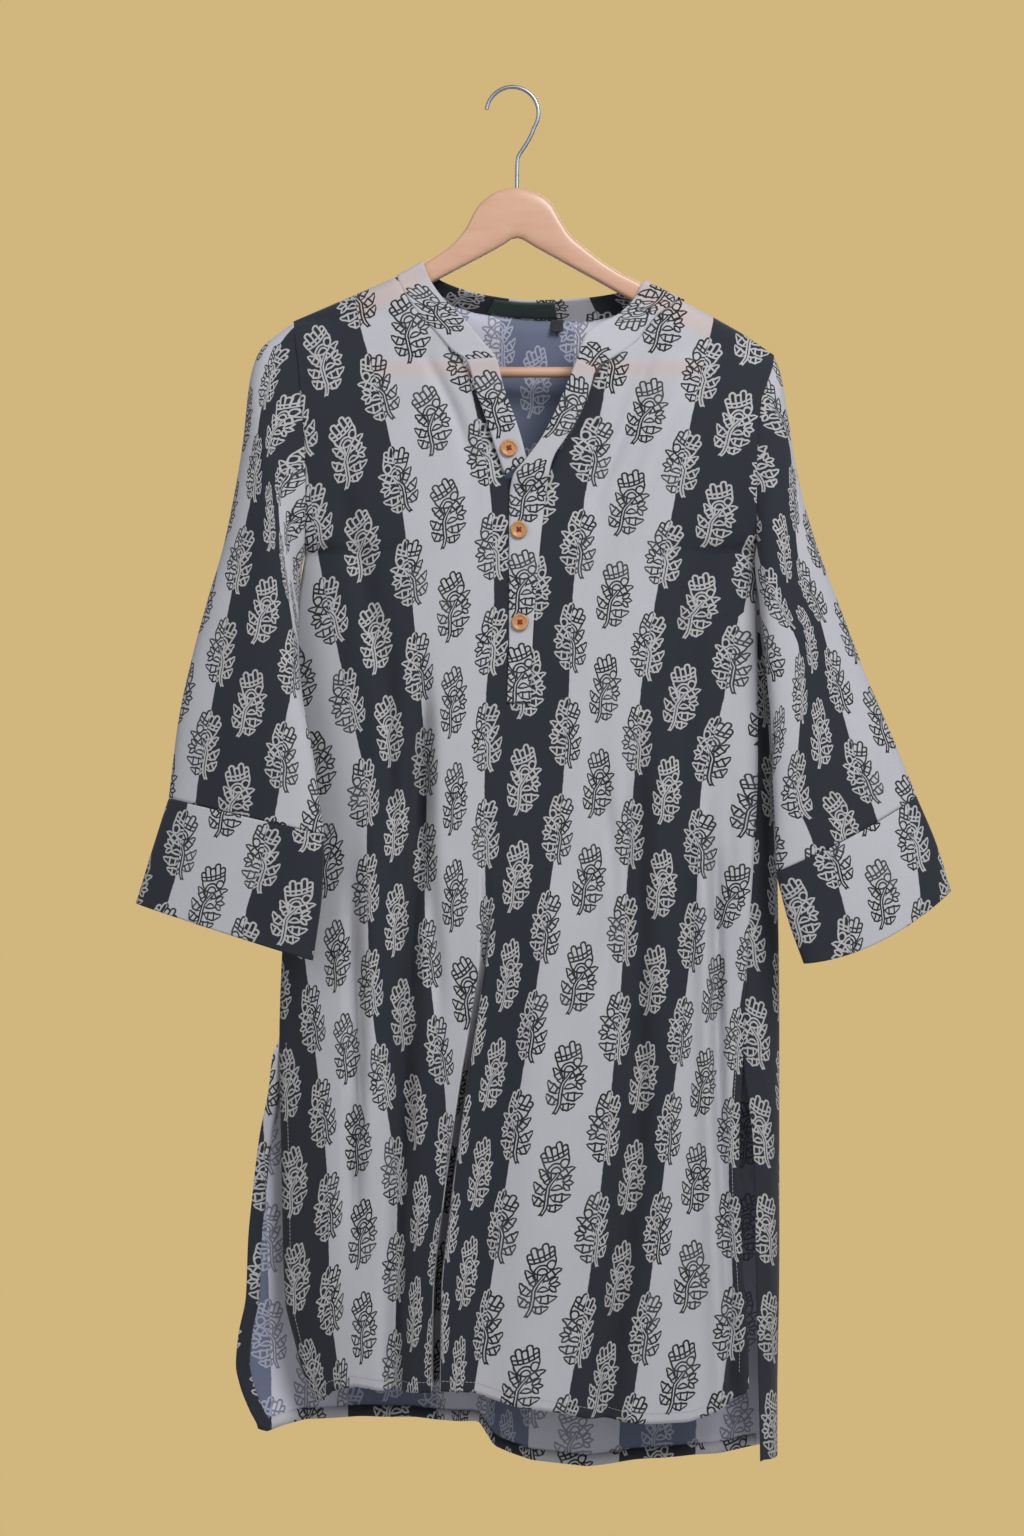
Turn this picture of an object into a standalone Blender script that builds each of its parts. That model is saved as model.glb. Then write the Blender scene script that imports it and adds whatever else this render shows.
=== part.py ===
import math

import bmesh
import bpy
import numpy as np
from mathutils import Vector

for old in list(bpy.data.objects):
    bpy.data.objects.remove(old)

home = bpy.data.collections.new("kurta_tunic_on_hanger")
bpy.context.scene.collection.children.link(home)

# Driving sizes, in metres. The origin is the hang point under the crown of the hook.
WALL = 0.0012
SEAM_GAP = 0.0012
LAY = 0.0008
RING_GAP = {-1: 0.0008, 1: 0.0022}
ROLL = 0.0038
WIRE_R = 0.0018
HOOK_R = 0.0229
BAR_R = 0.00475
WOOD_HALF = 0.0060
BUTTON_R = 0.0075
BUTTON_T = 0.0024
BUTTON_LIFT = 0.0006
UNDERARM_Z = -0.4065
SLIT_Z = -0.8385
ARMHOLE_DEPTH = 0.021

COLORS = {
    "print": (0.32, 0.33, 0.38, 1.0),
    "band": (0.57, 0.56, 0.60, 1.0),
    "wood": (0.72, 0.44, 0.30, 1.0),
    "steel": (0.75, 0.75, 0.76, 1.0),
    "coconut": (0.70, 0.38, 0.15, 1.0),
    "label": (0.10, 0.22, 0.17, 1.0),
    "tab": (0.05, 0.05, 0.06, 1.0),
}


def curve(table, column, at):
    """Smooth value of one column of a table, by its first column."""
    rows = sorted(table, key=lambda row: row[0])
    keys = [row[0] for row in rows]
    vals = [row[column] for row in rows]
    if at <= keys[0]:
        return vals[0]
    if at >= keys[-1]:
        return vals[-1]
    i = int(np.searchsorted(keys, at) - 1)
    i = max(0, min(i, len(keys) - 2))
    gap = keys[i + 1] - keys[i]
    f = (at - keys[i]) / gap
    rise = (vals[i + 1] - vals[i]) / gap
    before = rise if i == 0 else (vals[i] - vals[i - 1]) / (keys[i] - keys[i - 1])
    after = rise
    if i + 2 < len(keys):
        after = (vals[i + 2] - vals[i + 1]) / (keys[i + 2] - keys[i + 1])
    m0 = 0.0 if before * rise <= 0.0 else 2.0 * before * rise / (before + rise)
    m1 = 0.0 if after * rise <= 0.0 else 2.0 * after * rise / (after + rise)
    h00 = (1.0 + 2.0 * f) * (1.0 - f) ** 2
    h10 = f * (1.0 - f) ** 2
    h01 = f * f * (3.0 - 2.0 * f)
    h11 = f * f * (f - 1.0)
    return h00 * vals[i] + h10 * gap * m0 + h01 * vals[i + 1] + h11 * gap * m1


def mix(a, b, f):
    return a + (b - a) * f


def ease(f):
    f = max(0.0, min(1.0, f))
    return f * f * (3.0 - 2.0 * f)


def bump(x, middle, width):
    return math.exp(-((x - middle) / width) ** 2)


def lens(w):
    return (2.0 * math.sqrt(max(0.0, w * (1.0 - w)))) ** 0.8


def paint(obj, name):
    mat = bpy.data.materials.new(obj.name + "_material")
    mat.use_nodes = True
    shader = mat.node_tree.nodes["Principled BSDF"]
    shader.inputs["Base Color"].default_value = COLORS[name]
    shader.inputs["Roughness"].default_value = 0.8
    obj.data.materials.clear()
    obj.data.materials.append(mat)


def close_up(mesh):
    bm = bmesh.new()
    bm.from_mesh(mesh)
    bmesh.ops.remove_doubles(bm, verts=bm.verts, dist=0.00002)
    bmesh.ops.recalc_face_normals(bm, faces=bm.faces)
    if bm.calc_volume(signed=True) < 0.0:
        bmesh.ops.reverse_faces(bm, faces=bm.faces)
    bmesh.ops.triangulate(bm, faces=bm.faces)
    bm.to_mesh(mesh)
    bm.free()
    mesh.shade_smooth()


def add(name, verts, faces, color):
    mesh = bpy.data.meshes.new(name)
    mesh.from_pydata(verts, [], faces)
    mesh.update()
    obj = bpy.data.objects.new(name, mesh)
    home.objects.link(obj)
    paint(obj, color)
    return obj


def grid_faces(rows, cols, closed, flip):
    faces = []
    for r in range(rows - 1):
        for c in range(cols if closed else cols - 1):
            n = (c + 1) % cols
            a = r * cols + c
            b = r * cols + n
            d = (r + 1) * cols + c
            e = (r + 1) * cols + n
            faces.append((a, d, e, b) if flip else (a, b, e, d))
    return faces


def cloth(name, grid, color, closed=False, flip=False, wall=WALL):
    """A cloth panel, from a grid of points on its outer face and a wall on the inner side."""
    rows = len(grid)
    cols = len(grid[0])
    verts = [tuple(point) for row in grid for point in row]
    obj = add(name, verts, grid_faces(rows, cols, closed, flip), color)
    layer = obj.modifiers.new("wall", "SOLIDIFY")
    layer.thickness = wall
    layer.offset = -1.0
    bpy.context.view_layer.update()
    graph = bpy.context.evaluated_depsgraph_get()
    thick = bpy.data.meshes.new_from_object(obj.evaluated_get(graph))
    obj.modifiers.clear()
    obj.data = thick
    close_up(obj.data)
    obj.data.name = name
    paint(obj, color)
    return obj


def tube(name, points, radius, color):
    """A round bar along a line of points, with filled caps."""
    line = bpy.data.curves.new(name, "CURVE")
    line.dimensions = "3D"
    line.bevel_depth = radius
    line.bevel_resolution = 2
    line.use_fill_caps = True
    spline = line.splines.new("POLY")
    spline.points.add(len(points) - 1)
    for point, place in zip(spline.points, points):
        point.co = (place[0], place[1], place[2], 1.0)
    obj = bpy.data.objects.new(name, line)
    home.objects.link(obj)
    paint(obj, color)
    return obj


# Front panel. Stripe edges across the panel at each height, with the flat place of each edge.
STRIPE_U = (-0.199, -0.119, -0.040, 0.040, 0.120, 0.199, 0.279)
#       height   L2       L1       LC       RC      R1      R2      R3
STRIPE_X = (
    (-0.1500, -0.2250, -0.1440, -0.0600, 0.1010, 0.1840, 0.2640, 0.3440),
    (-0.2000, -0.2166, -0.1366, -0.0520, 0.0910, 0.1763, 0.2560, 0.3360),
    (-0.2792, -0.1955, -0.1151, -0.0355, 0.0778, 0.1583, 0.2383, 0.3183),
    (-0.3657, -0.1808, -0.0978, -0.0199, 0.0614, 0.1401, 0.2200, 0.3000),
    (-0.4522, -0.1635, -0.0883, -0.0173, 0.0510, 0.1237, 0.1989, 0.2740),
    (-0.5387, -0.1445, -0.0805, -0.0251, 0.0475, 0.1098, 0.1825, 0.2560),
    (-0.6252, -0.1280, -0.0761, -0.0260, 0.0415, 0.1038, 0.1617, 0.2387),
    (-0.7117, -0.1272, -0.0779, -0.0277, 0.0294, 0.0977, 0.1583, 0.2145),
    (-0.7982, -0.1237, -0.0744, -0.0320, 0.0173, 0.0925, 0.1487, 0.1937),
    (-0.8847, -0.1116, -0.0658, -0.0476, 0.0034, 0.0839, 0.1375, 0.1868),
    (-0.9712, -0.1012, -0.0588, -0.0545, -0.0095, 0.0744, 0.1271, 0.1877),
    (-1.0577, -0.1021, -0.0675, -0.0632, -0.0225, 0.0631, 0.1159, 0.1911),
    (-1.1442, -0.1047, -0.0701, -0.0658, -0.0364, 0.0475, 0.1029, 0.1799),
    (-1.2000, -0.1060, -0.0710, -0.0670, -0.0440, 0.0400, 0.0960, 0.1740),
)
#       height   left x   left u   right x  right u
FRONT_EDGE = (
    (-0.2000, -0.1945, -0.1750, 0.2320, 0.1790),
    (-0.2050, -0.1940, -0.1755, 0.2315, 0.1790),
    (-0.2332, -0.1905, -0.1810, 0.2290, 0.1790),
    (-0.2408, -0.1895, -0.1820, 0.2279, 0.1795),
    (-0.2635, -0.1875, -0.1870, 0.2203, 0.1770),
    (-0.2774, -0.1862, -0.1900, 0.2157, 0.1770),
    (-0.3383, -0.1819, -0.2000, 0.2114, 0.1870),
    (-0.4065, -0.1836, -0.2110, 0.2114, 0.1990),
    (-0.4862, -0.1879, -0.2310, 0.2114, 0.2150),
    (-0.5906, -0.1949, -0.2590, 0.2105, 0.2340),
    (-0.6776, -0.2001, -0.2800, 0.2070, 0.2470),
    (-0.7515, -0.2036, -0.3040, 0.2040, 0.2750),
    (-0.8342, -0.2062, -0.3240, 0.2001, 0.2890),
    (-0.9299, -0.2045, -0.3320, 0.1983, 0.2910),
    (-0.9769, -0.2036, -0.3330, 0.1988, 0.2920),
    (-1.0604, -0.2010, -0.3340, 0.2012, 0.2940),
    (-1.0995, -0.1925, -0.3340, 0.2036, 0.2990),
    (-1.1378, -0.1810, -0.3340, 0.2044, 0.3030),
    (-1.1500, -0.1740, -0.3340, 0.2040, 0.3040),
)
# Neck and shoulder line of the front, across its top edge: x, z, y.
FRONT_TOP = (
    (-0.1962, -0.2055, 0.0000), (-0.1443, -0.1830, 0.0000), (-0.1030, -0.1652, 0.0000),
    (-0.1012, -0.1685, -0.0100), (-0.0946, -0.1841, -0.0130), (-0.0822, -0.2015, -0.0170),
    (-0.0681, -0.2169, -0.0210), (-0.0541, -0.2330, -0.0240), (-0.0430, -0.2420, -0.0260),
    (-0.0322, -0.2730, -0.0264), (-0.0253, -0.2909, -0.0266), (-0.0157, -0.3209, -0.0270),
    (-0.0078, -0.3450, -0.0275), (0.0100, -0.3450, -0.0280), (0.0290, -0.3450, -0.0280),
    (0.0443, -0.3140, -0.0280), (0.0555, -0.2988, -0.0276), (0.0660, -0.2737, -0.0272),
    (0.0740, -0.2500, -0.0268), (0.0889, -0.2383, -0.0240), (0.1066, -0.2254, -0.0190),
    (0.1234, -0.2028, -0.0140), (0.1386, -0.1906, -0.0090), (0.1443, -0.1840, 0.0000),
    (0.1760, -0.2012, 0.0000), (0.2015, -0.2156, 0.0000), (0.2320, -0.2365, 0.0000),
)
FRONT_HEM = (
    (-0.1750, -1.1530), (-0.1661, -1.1503), (-0.1583, -1.1410), (-0.1384, -1.1347),
    (-0.1047, -1.1390), (-0.0666, -1.1364), (-0.0346, -1.1373), (-0.0009, -1.1477),
    (0.0389, -1.1546), (0.0631, -1.1598), (0.1150, -1.1650), (0.1505, -1.1641),
    (0.1660, -1.1598), (0.1877, -1.1485), (0.2024, -1.1400), (0.2060, -1.1370),
)
#       height  middle y  left edge y  right edge y
FRONT_DEPTH = (
    (-0.1500, -0.0180, -0.0020, -0.0120),
    (-0.2792, -0.0255, -0.0020, -0.0120),
    (-0.3500, -0.0290, -0.0020, -0.0120),
    (-0.4522, -0.0345, -0.0020, -0.0140),
    (-0.6000, -0.0400, -0.0010, -0.0210),
    (-0.8000, -0.0440, -0.0030, -0.0270),
    (-1.0000, -0.0470, -0.0080, -0.0300),
    (-1.2000, -0.0490, -0.0120, -0.0310),
)
# The deep pleat left of the middle: height, line x, flat middle, flat half width, half gap.
SLOT = (
    (-0.5400, -0.0150, -0.0450, 0.0030, 0.0020),
    (-0.6252, -0.0125, -0.0400, 0.0040, 0.0020),
    (-0.7117, -0.0190, -0.0380, 0.0090, 0.0022),
    (-0.7982, -0.0321, -0.0580, 0.0185, 0.0028),
    (-0.8847, -0.0458, -0.0685, 0.0325, 0.0034),
    (-0.9712, -0.0577, -0.0800, 0.0385, 0.0036),
    (-1.0577, -0.0667, -0.0805, 0.0395, 0.0038),
    (-1.2000, -0.0684, -0.0805, 0.0395, 0.0040),
)
# Soft folds of the front: height and x of top, middle and end, width, push out.
FRONT_FOLDS = (
    (-0.5600, -0.0780, -0.8200, -0.0860, -1.1500, -0.1060, 0.0120, -0.0075),
    (-0.6400, -0.1220, -0.8400, -0.1330, -0.9600, -0.1380, 0.0150, 0.0070),
    (-0.5400, 0.1100, -0.8500, 0.0900, -1.1500, 0.0800, 0.0130, -0.0070),
    (-0.6600, 0.1640, -0.8500, 0.1760, -0.9600, 0.1890, 0.0110, 0.0060),
    (-0.6200, 0.0750, -0.7000, 0.0900, -0.7900, 0.0950, 0.0110, -0.0040),
    (-0.6000, 0.1750, -0.7200, 0.1800, -0.8000, 0.1850, 0.0140, -0.0040),
    (-0.2400, -0.0700, -0.2700, -0.0550, -0.3200, -0.0400, 0.0080, -0.0030),
    (-0.2600, 0.1180, -0.3100, 0.0900, -0.3500, 0.0680, 0.0090, -0.0035),
)


def fold_push(folds, x, z):
    total = 0.0
    for top, x_top, mid, x_mid, end, x_end, width, depth in folds:
        line = ((top, x_top), (mid, x_mid), (end, x_end))
        middle = curve(line, 1, z)
        ends = ease((top - z) / 0.12 + 0.5)
        if end > -1.1:
            ends *= ease((z - end) / 0.12 + 0.5)
        total += depth * ends * bump(x, middle, width)
    return total


def front_x(u, z):
    """Place across the front of one flat place of the cloth at one height."""
    stripes = [(place, curve(STRIPE_X, k + 1, z)) for k, place in enumerate(STRIPE_U)]
    left_x = curve(FRONT_EDGE, 1, z)
    left_u = curve(FRONT_EDGE, 2, z)
    right_x = curve(FRONT_EDGE, 3, z)
    right_u = curve(FRONT_EDGE, 4, z)
    inner = [(a, b) for a, b in stripes if left_u + 0.012 < a < right_u - 0.012]
    knots = [(left_u, left_x)] + inner + [(right_u, right_x)]
    us = [a for a, b in knots]
    xs = [b for a, b in knots]

    def plain(place):
        return float(np.interp(place, us, xs))

    line = curve(SLOT, 1, z)
    mid = curve(SLOT, 2, z)
    half = curve(SLOT, 3, z)
    gap = curve(SLOT, 4, z)
    floor = min(0.003, 0.35 * half)
    low = mid - half
    high = mid + half
    if u <= low:
        tuck = plain(u) + (line - gap - plain(low)) * math.exp(-(low - u) / 0.030)
    elif u >= high:
        tuck = plain(u) + (line + gap - plain(high)) * math.exp(-(u - high) / 0.030)
    else:
        steps = (low, mid - floor, mid + floor, high)
        sides = (line - gap, line - 0.6 * gap, line + 0.6 * gap, line + gap)
        tuck = float(np.interp(u, steps, sides))
    return mix(plain(u), tuck, ease((half - 0.004) / 0.012))


def slot_depth(u, z):
    mid = curve(SLOT, 2, z)
    half = curve(SLOT, 3, z)
    floor = min(0.003, 0.35 * half)
    share = ease((half - 0.004) / 0.012)
    deep = 0.93 * (half - floor) * share
    inside = float(np.interp(abs(u - mid), (floor, half), (1.0, 0.0)))
    lip = 0.0060 * share * math.exp(-max(0.0, mid - half - u) / 0.022)
    return deep * inside - lip * (1.0 if u < mid else 0.0) * (1.0 - inside)


def armhole(z, side):
    """Edge depth round an armhole, front side negative, and how far down it runs."""
    top = -0.2050 if side < 0 else -0.2350
    low = -0.0020 if side < 0 else -0.0120
    w = (top - z) / (top - UNDERARM_Z)
    w = max(0.0, min(1.0, w))
    return low * w, ARMHOLE_DEPTH * lens(w)


def front_y(x, z, u):
    """Depth of the front panel away from its top edge."""
    left_x = curve(FRONT_EDGE, 1, z)
    right_x = curve(FRONT_EDGE, 3, z)
    w = max(0.0, min(1.0, (x - left_x) / (right_x - left_x)))
    left_y = curve(FRONT_DEPTH, 2, z)
    right_y = curve(FRONT_DEPTH, 3, z)
    if z > UNDERARM_Z:
        left_low, left_arc = armhole(z, -1)
        right_low, right_arc = armhole(z, 1)
        left_y = left_low - left_arc
        right_y = right_low - right_arc
    edge = mix(left_y, right_y, w) - SEAM_GAP
    crown = 1.0 - abs(2.0 * w - 1.0) ** 3.5
    body = mix(edge, min(edge, curve(FRONT_DEPTH, 1, z)), crown)
    near = ease(min(w, 1.0 - w) / 0.06)
    return body - fold_push(FRONT_FOLDS, x, z) * near + slot_depth(u, z)


FRONT_COLS = (
    ("left", 0.0), ("left", 0.2), ("left", 0.4), ("left", 0.6), ("left", 0.8),
    ("at", -0.135), ("lead", 0.2), ("lead", 0.4), ("lead", 0.63), ("lead", 0.72), ("lead", 0.85),
    ("lead", 1.0), ("floor", -1.0), ("floor", 1.0), ("trail", 0.0), ("trail", 0.33), ("trail", 0.66),
    ("at", 0.030), ("at", 0.048), ("at", 0.066), ("at", 0.0843), ("at", 0.107),
    ("at", 0.130), ("at", 0.150), ("right", 0.2), ("right", 0.4), ("right", 0.6),
    ("right", 0.8), ("right", 1.0),
)
ROW_START = (0.0, 0.003, 0.009, 0.020)
ROW_COUNT = 31


def front_u(kind, value, z):
    mid = curve(SLOT, 2, z)
    half = curve(SLOT, 3, z)
    if kind == "at":
        return value
    if kind == "left":
        return mix(curve(FRONT_EDGE, 2, z), -0.135, value)
    if kind == "right":
        return mix(0.150, curve(FRONT_EDGE, 4, z), value)
    if kind == "lead":
        return mix(-0.135, mid - half, value)
    if kind == "floor":
        return mid + value * min(0.003, 0.35 * half)
    return mix(mid + half, 0.030, value)


def end_height(kind, value, line, start):
    """Height where a column of the front meets an edge line."""
    xs = [row[0] for row in line]
    zs = [row[1] for row in line]
    z = start
    for _ in range(80):
        x = front_x(front_u(kind, value, z), z)
        z = mix(z, float(np.interp(x, xs, zs)), 0.5)
    return z


def make_front():
    rows = list(ROW_START)
    rows += [mix(0.020, 1.0, (k + 1) / ROW_COUNT) for k in range(ROW_COUNT)]
    grid = [[] for _ in rows]
    xs = [row[0] for row in FRONT_TOP]
    ys = [row[2] for row in FRONT_TOP]
    for kind, value in FRONT_COLS:
        top = end_height(kind, value, FRONT_TOP, -0.24)
        hem = end_height(kind, value, FRONT_HEM, -1.14)
        x_top = front_x(front_u(kind, value, top), top)
        y_top = float(np.interp(x_top, xs, ys)) - SEAM_GAP
        for k, t in enumerate(rows):
            z = mix(top, hem, t)
            u = front_u(kind, value, z)
            x = front_x(u, z)
            roll = 1.0 - math.exp(-(top - z) / ROLL)
            y = mix(y_top, front_y(x, z, u), roll)
            grid[k].append((x, y, z))
    return cloth("front_panel", grid, "print", flip=True)


make_front()


# Back panel. It wraps forward to the side seams and hangs lower than the front.
BACK_TOP = (
    (-0.1962, -0.2055, 0.0000), (-0.1443, -0.1830, 0.0000), (-0.1030, -0.1652, 0.0000),
    (-0.0980, -0.1715, 0.0100), (-0.0745, -0.1822, 0.0200), (-0.0338, -0.1936, 0.0280),
    (0.0152, -0.1996, 0.0320), (0.0676, -0.2010, 0.0280), (0.1117, -0.1922, 0.0180),
    (0.1360, -0.1875, 0.0100), (0.1443, -0.1848, 0.0000), (0.1760, -0.2012, 0.0000),
    (0.2015, -0.2156, 0.0000), (0.2320, -0.2365, 0.0000),
)
#       height   left x   side x  right x  middle y
BACK_EDGE = (
    (-0.2000, -0.1945, 0.2320, 0.2320, 0.0240),
    (-0.2050, -0.1940, 0.2315, 0.2315, 0.0240),
    (-0.2332, -0.1905, 0.2290, 0.2290, 0.0260),
    (-0.2408, -0.1895, 0.2279, 0.2279, 0.0270),
    (-0.2774, -0.1862, 0.2157, 0.2157, 0.0280),
    (-0.3383, -0.1819, 0.2114, 0.2114, 0.0290),
    (-0.4065, -0.1836, 0.2125, 0.2114, 0.0300),
    (-0.4862, -0.1879, 0.2160, 0.2114, 0.0300),
    (-0.5906, -0.1949, 0.2195, 0.2105, 0.0310),
    (-0.6776, -0.2001, 0.2245, 0.2070, 0.0320),
    (-0.7515, -0.2036, 0.2320, 0.2040, 0.0330),
    (-0.8342, -0.2062, 0.2341, 0.2001, 0.0340),
    (-0.8494, -0.2119, 0.2341, 0.2000, 0.0340),
    (-0.8831, -0.2163, 0.2341, 0.1996, 0.0340),
    (-0.9221, -0.2243, 0.2341, 0.1990, 0.0350),
    (-0.9744, -0.2305, 0.2341, 0.1990, 0.0360),
    (-1.0125, -0.2341, 0.2341, 0.2000, 0.0360),
    (-1.0613, -0.2359, 0.2338, 0.2012, 0.0370),
    (-1.0994, -0.2430, 0.2330, 0.2036, 0.0370),
    (-1.1225, -0.2447, 0.2326, 0.2050, 0.0380),
    (-1.1402, -0.2412, 0.2323, 0.2060, 0.0380),
    (-1.1615, -0.2330, 0.2323, 0.2070, 0.0380),
    (-1.1792, -0.2250, 0.2323, 0.2080, 0.0380),
    (-1.2200, -0.2240, 0.2323, 0.2090, 0.0380),
)
BACK_HEM = (
    (-0.2260, -1.1780), (-0.2181, -1.1819), (-0.2038, -1.1779), (-0.1842, -1.1743),
    (-0.1460, -1.1761), (-0.0881, -1.1761), (-0.0685, -1.1788), (-0.0320, -1.1820),
    (-0.0180, -1.2037), (0.0160, -1.2150), (0.0650, -1.2206), (0.1184, -1.2153),
    (0.1976, -1.2055), (0.2181, -1.2010), (0.2323, -1.2028),
)
BACK_FOLDS = (
    (-0.6000, -0.0200, -0.9000, -0.0220, -1.2000, -0.0260, 0.0160, 0.0110),
    (-0.5000, -0.1200, -0.8000, -0.1250, -1.2000, -0.1400, 0.0200, 0.0080),
    (-0.5500, 0.0900, -0.8500, 0.1000, -1.2000, 0.1100, 0.0200, 0.0080),
    (-0.4500, 0.0300, -0.6500, 0.0350, -0.9000, 0.0420, 0.0160, -0.0050),
    (-0.6500, 0.1600, -0.8500, 0.1700, -1.2000, 0.1800, 0.0130, -0.0060),
)
BACK_COLS = 22
BACK_ROWS = 27


def back_point(s, z):
    """A point of the back at one share of its width and one height."""
    left_x = curve(BACK_EDGE, 1, z)
    side_x = curve(BACK_EDGE, 2, z)
    right_x = curve(BACK_EDGE, 3, z)
    mid_y = curve(BACK_EDGE, 4, z)
    left_y = curve(FRONT_DEPTH, 2, z)
    right_y = curve(FRONT_DEPTH, 3, z)
    if z > UNDERARM_Z:
        left_low, left_arc = armhole(z, -1)
        right_low, right_arc = armhole(z, 1)
        left_y = left_low + left_arc
        right_y = right_low + right_arc
    else:
        left_y += 0.010 * ease((SLIT_Z - z) / 0.1)
        right_y += 0.004 * ease((SLIT_Z - z) / 0.1)
    edge = mix(left_y, right_y, s) + SEAM_GAP
    crown = 1.0 - abs(2.0 * s - 1.0) ** 3.5
    x = mix(left_x, right_x, s)
    flat = Vector((x, mix(edge, max(edge, mid_y), crown), z))
    wrap = ease((UNDERARM_Z - z) / 0.12)
    if wrap > 0.0:
        turn = max(0.0, s - 0.80) / 0.20
        back_s = min(1.0, s / 0.80)
        wide = mix(left_x, side_x - 0.012, back_s)
        rise = 1.0 - max(0.0, 1.0 - 2.0 * back_s) ** 3.5
        left_edge = left_y + SEAM_GAP
        deep = mix(left_edge, mid_y, rise)
        if turn > 0.0:
            path = (
                (0.00, side_x - 0.0120, mid_y),
                (0.25, side_x - 0.0025, mid_y - 0.0090),
                (0.50, side_x, 0.0060),
                (0.75, mix(side_x, right_x, 0.35), mix(0.006, right_y, 0.6)),
                (1.00, right_x, right_y + SEAM_GAP),
            )
            wide = curve(path, 1, turn)
            deep = curve(path, 2, turn)
        flat = flat.lerp(Vector((wide, deep, z)), wrap)
    near = ease(min(s, 1.0 - s) / 0.10)
    flat.y += fold_push(BACK_FOLDS, flat.x, z) * near
    return flat


def make_back():
    rows = list(ROW_START)
    rows += [mix(0.020, 1.0, (k + 1) / BACK_ROWS) for k in range(BACK_ROWS)]
    grid = [[] for _ in rows]
    top_x = [row[0] for row in BACK_TOP]
    top_z = [row[1] for row in BACK_TOP]
    top_y = [row[2] for row in BACK_TOP]
    hem_x = [row[0] for row in BACK_HEM]
    hem_z = [row[1] for row in BACK_HEM]
    for c in range(BACK_COLS):
        s = c / (BACK_COLS - 1)
        top = -0.2
        hem = -1.18
        for _ in range(60):
            top = mix(top, float(np.interp(back_point(s, top).x, top_x, top_z)), 0.5)
            hem = mix(hem, float(np.interp(back_point(s, hem).x, hem_x, hem_z)), 0.5)
        start_x = back_point(s, top).x
        y_top = float(np.interp(start_x, top_x, top_y)) + SEAM_GAP
        for k, t in enumerate(rows):
            z = mix(top, hem, t)
            point = back_point(s, z)
            roll = 1.0 - math.exp(-(top - z) / ROLL)
            grid[k].append((point.x, mix(y_top, point.y, roll), z))
    return cloth("back_panel", grid, "print")


make_back()


# Sleeves: an outer and an inner line, with the depth of the front and back between them.
#    share  outer x   z       y       inner x   z       y      front   back    sag
SLEEVE_LEFT = (
    (0.000, -0.1955, -0.2060, 0.0000, -0.1850, -0.4085, -0.0020, 0.0210, 0.0210, 0.0),
    (0.060, -0.2120, -0.2185, 0.0000, -0.1868, -0.4200, -0.0060, 0.0215, 0.0200, 0.0),
    (0.120, -0.2235, -0.2300, 0.0000, -0.1875, -0.4350, -0.0120, 0.0220, 0.0190, 0.0),
    (0.200, -0.2320, -0.2550, 0.0000, -0.1878, -0.4600, -0.0220, 0.0220, 0.0180, 0.0),
    (0.320, -0.2384, -0.3122, -0.0020, -0.1870, -0.4939, -0.0320, 0.0220, 0.0160, 0.0),
    (0.480, -0.2541, -0.3992, -0.0060, -0.1832, -0.5350, -0.0420, 0.0220, 0.0140, 0.0),
    (0.600, -0.2688, -0.4514, -0.0100, -0.1775, -0.5620, -0.0480, 0.0220, 0.0130, 0.0),
    (0.720, -0.2802, -0.4949, -0.0140, -0.1733, -0.5850, -0.0520, 0.0210, 0.0120, 0.0),
    (0.860, -0.2930, -0.5558, -0.0190, -0.1690, -0.6150, -0.0560, 0.0200, 0.0120, 0.0),
    (1.000, -0.3010, -0.6235, -0.0240, -0.1632, -0.6540, -0.0600, 0.0190, 0.0120, 0.0),
)
SLEEVE_RIGHT = (
    (0.000, 0.2300, -0.2365, 0.0000, 0.2128, -0.4085, -0.0120, 0.0210, 0.0210, 0.0),
    (0.060, 0.2340, -0.2470, 0.0000, 0.2172, -0.4180, -0.0160, 0.0210, 0.0205, 0.0),
    (0.120, 0.2370, -0.2620, 0.0000, 0.2200, -0.4320, -0.0210, 0.0215, 0.0200, 0.0),
    (0.200, 0.2405, -0.2850, 0.0000, 0.2215, -0.4500, -0.0260, 0.0215, 0.0190, 0.0),
    (0.320, 0.2488, -0.3383, -0.0020, 0.2218, -0.4870, -0.0320, 0.0215, 0.0170, 0.0),
    (0.440, 0.2619, -0.3905, -0.0060, 0.2224, -0.5192, -0.0360, 0.0215, 0.0160, 0.0),
    (0.600, 0.2836, -0.4514, -0.0100, 0.2228, -0.5662, -0.0400, 0.0210, 0.0150, 0.0),
    (0.760, 0.3097, -0.5210, -0.0160, 0.2240, -0.6080, -0.0420, 0.0205, 0.0140, 0.0),
    (0.880, 0.3315, -0.5732, -0.0200, 0.2256, -0.6450, -0.0440, 0.0200, 0.0130, 0.0),
    (1.000, 0.3508, -0.6220, -0.0240, 0.2262, -0.6870, -0.0460, 0.0190, 0.0120, 0.003),
)
CUFF_LEFT = (
    (0.000, -0.3012, -0.6240, -0.0240, -0.1632, -0.6545, -0.0600, 0.0190, 0.0120, 0.0),
    (0.500, -0.3155, -0.6700, -0.0270, -0.1645, -0.7010, -0.0620, 0.0185, 0.0120, 0.0),
    (1.000, -0.3289, -0.7150, -0.0300, -0.1723, -0.7628, -0.0640, 0.0180, 0.0120, 0.0),
)
CUFF_RIGHT = (
    (0.000, 0.3510, -0.6225, -0.0240, 0.2262, -0.6875, -0.0460, 0.0190, 0.0120, 0.003),
    (0.500, 0.3680, -0.6640, -0.0270, 0.2360, -0.7270, -0.0500, 0.0185, 0.0120, 0.006),
    (1.000, 0.3800, -0.7040, -0.0300, 0.2495, -0.7660, -0.0540, 0.0180, 0.0120, 0.012),
)
ROUND = 20


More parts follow.
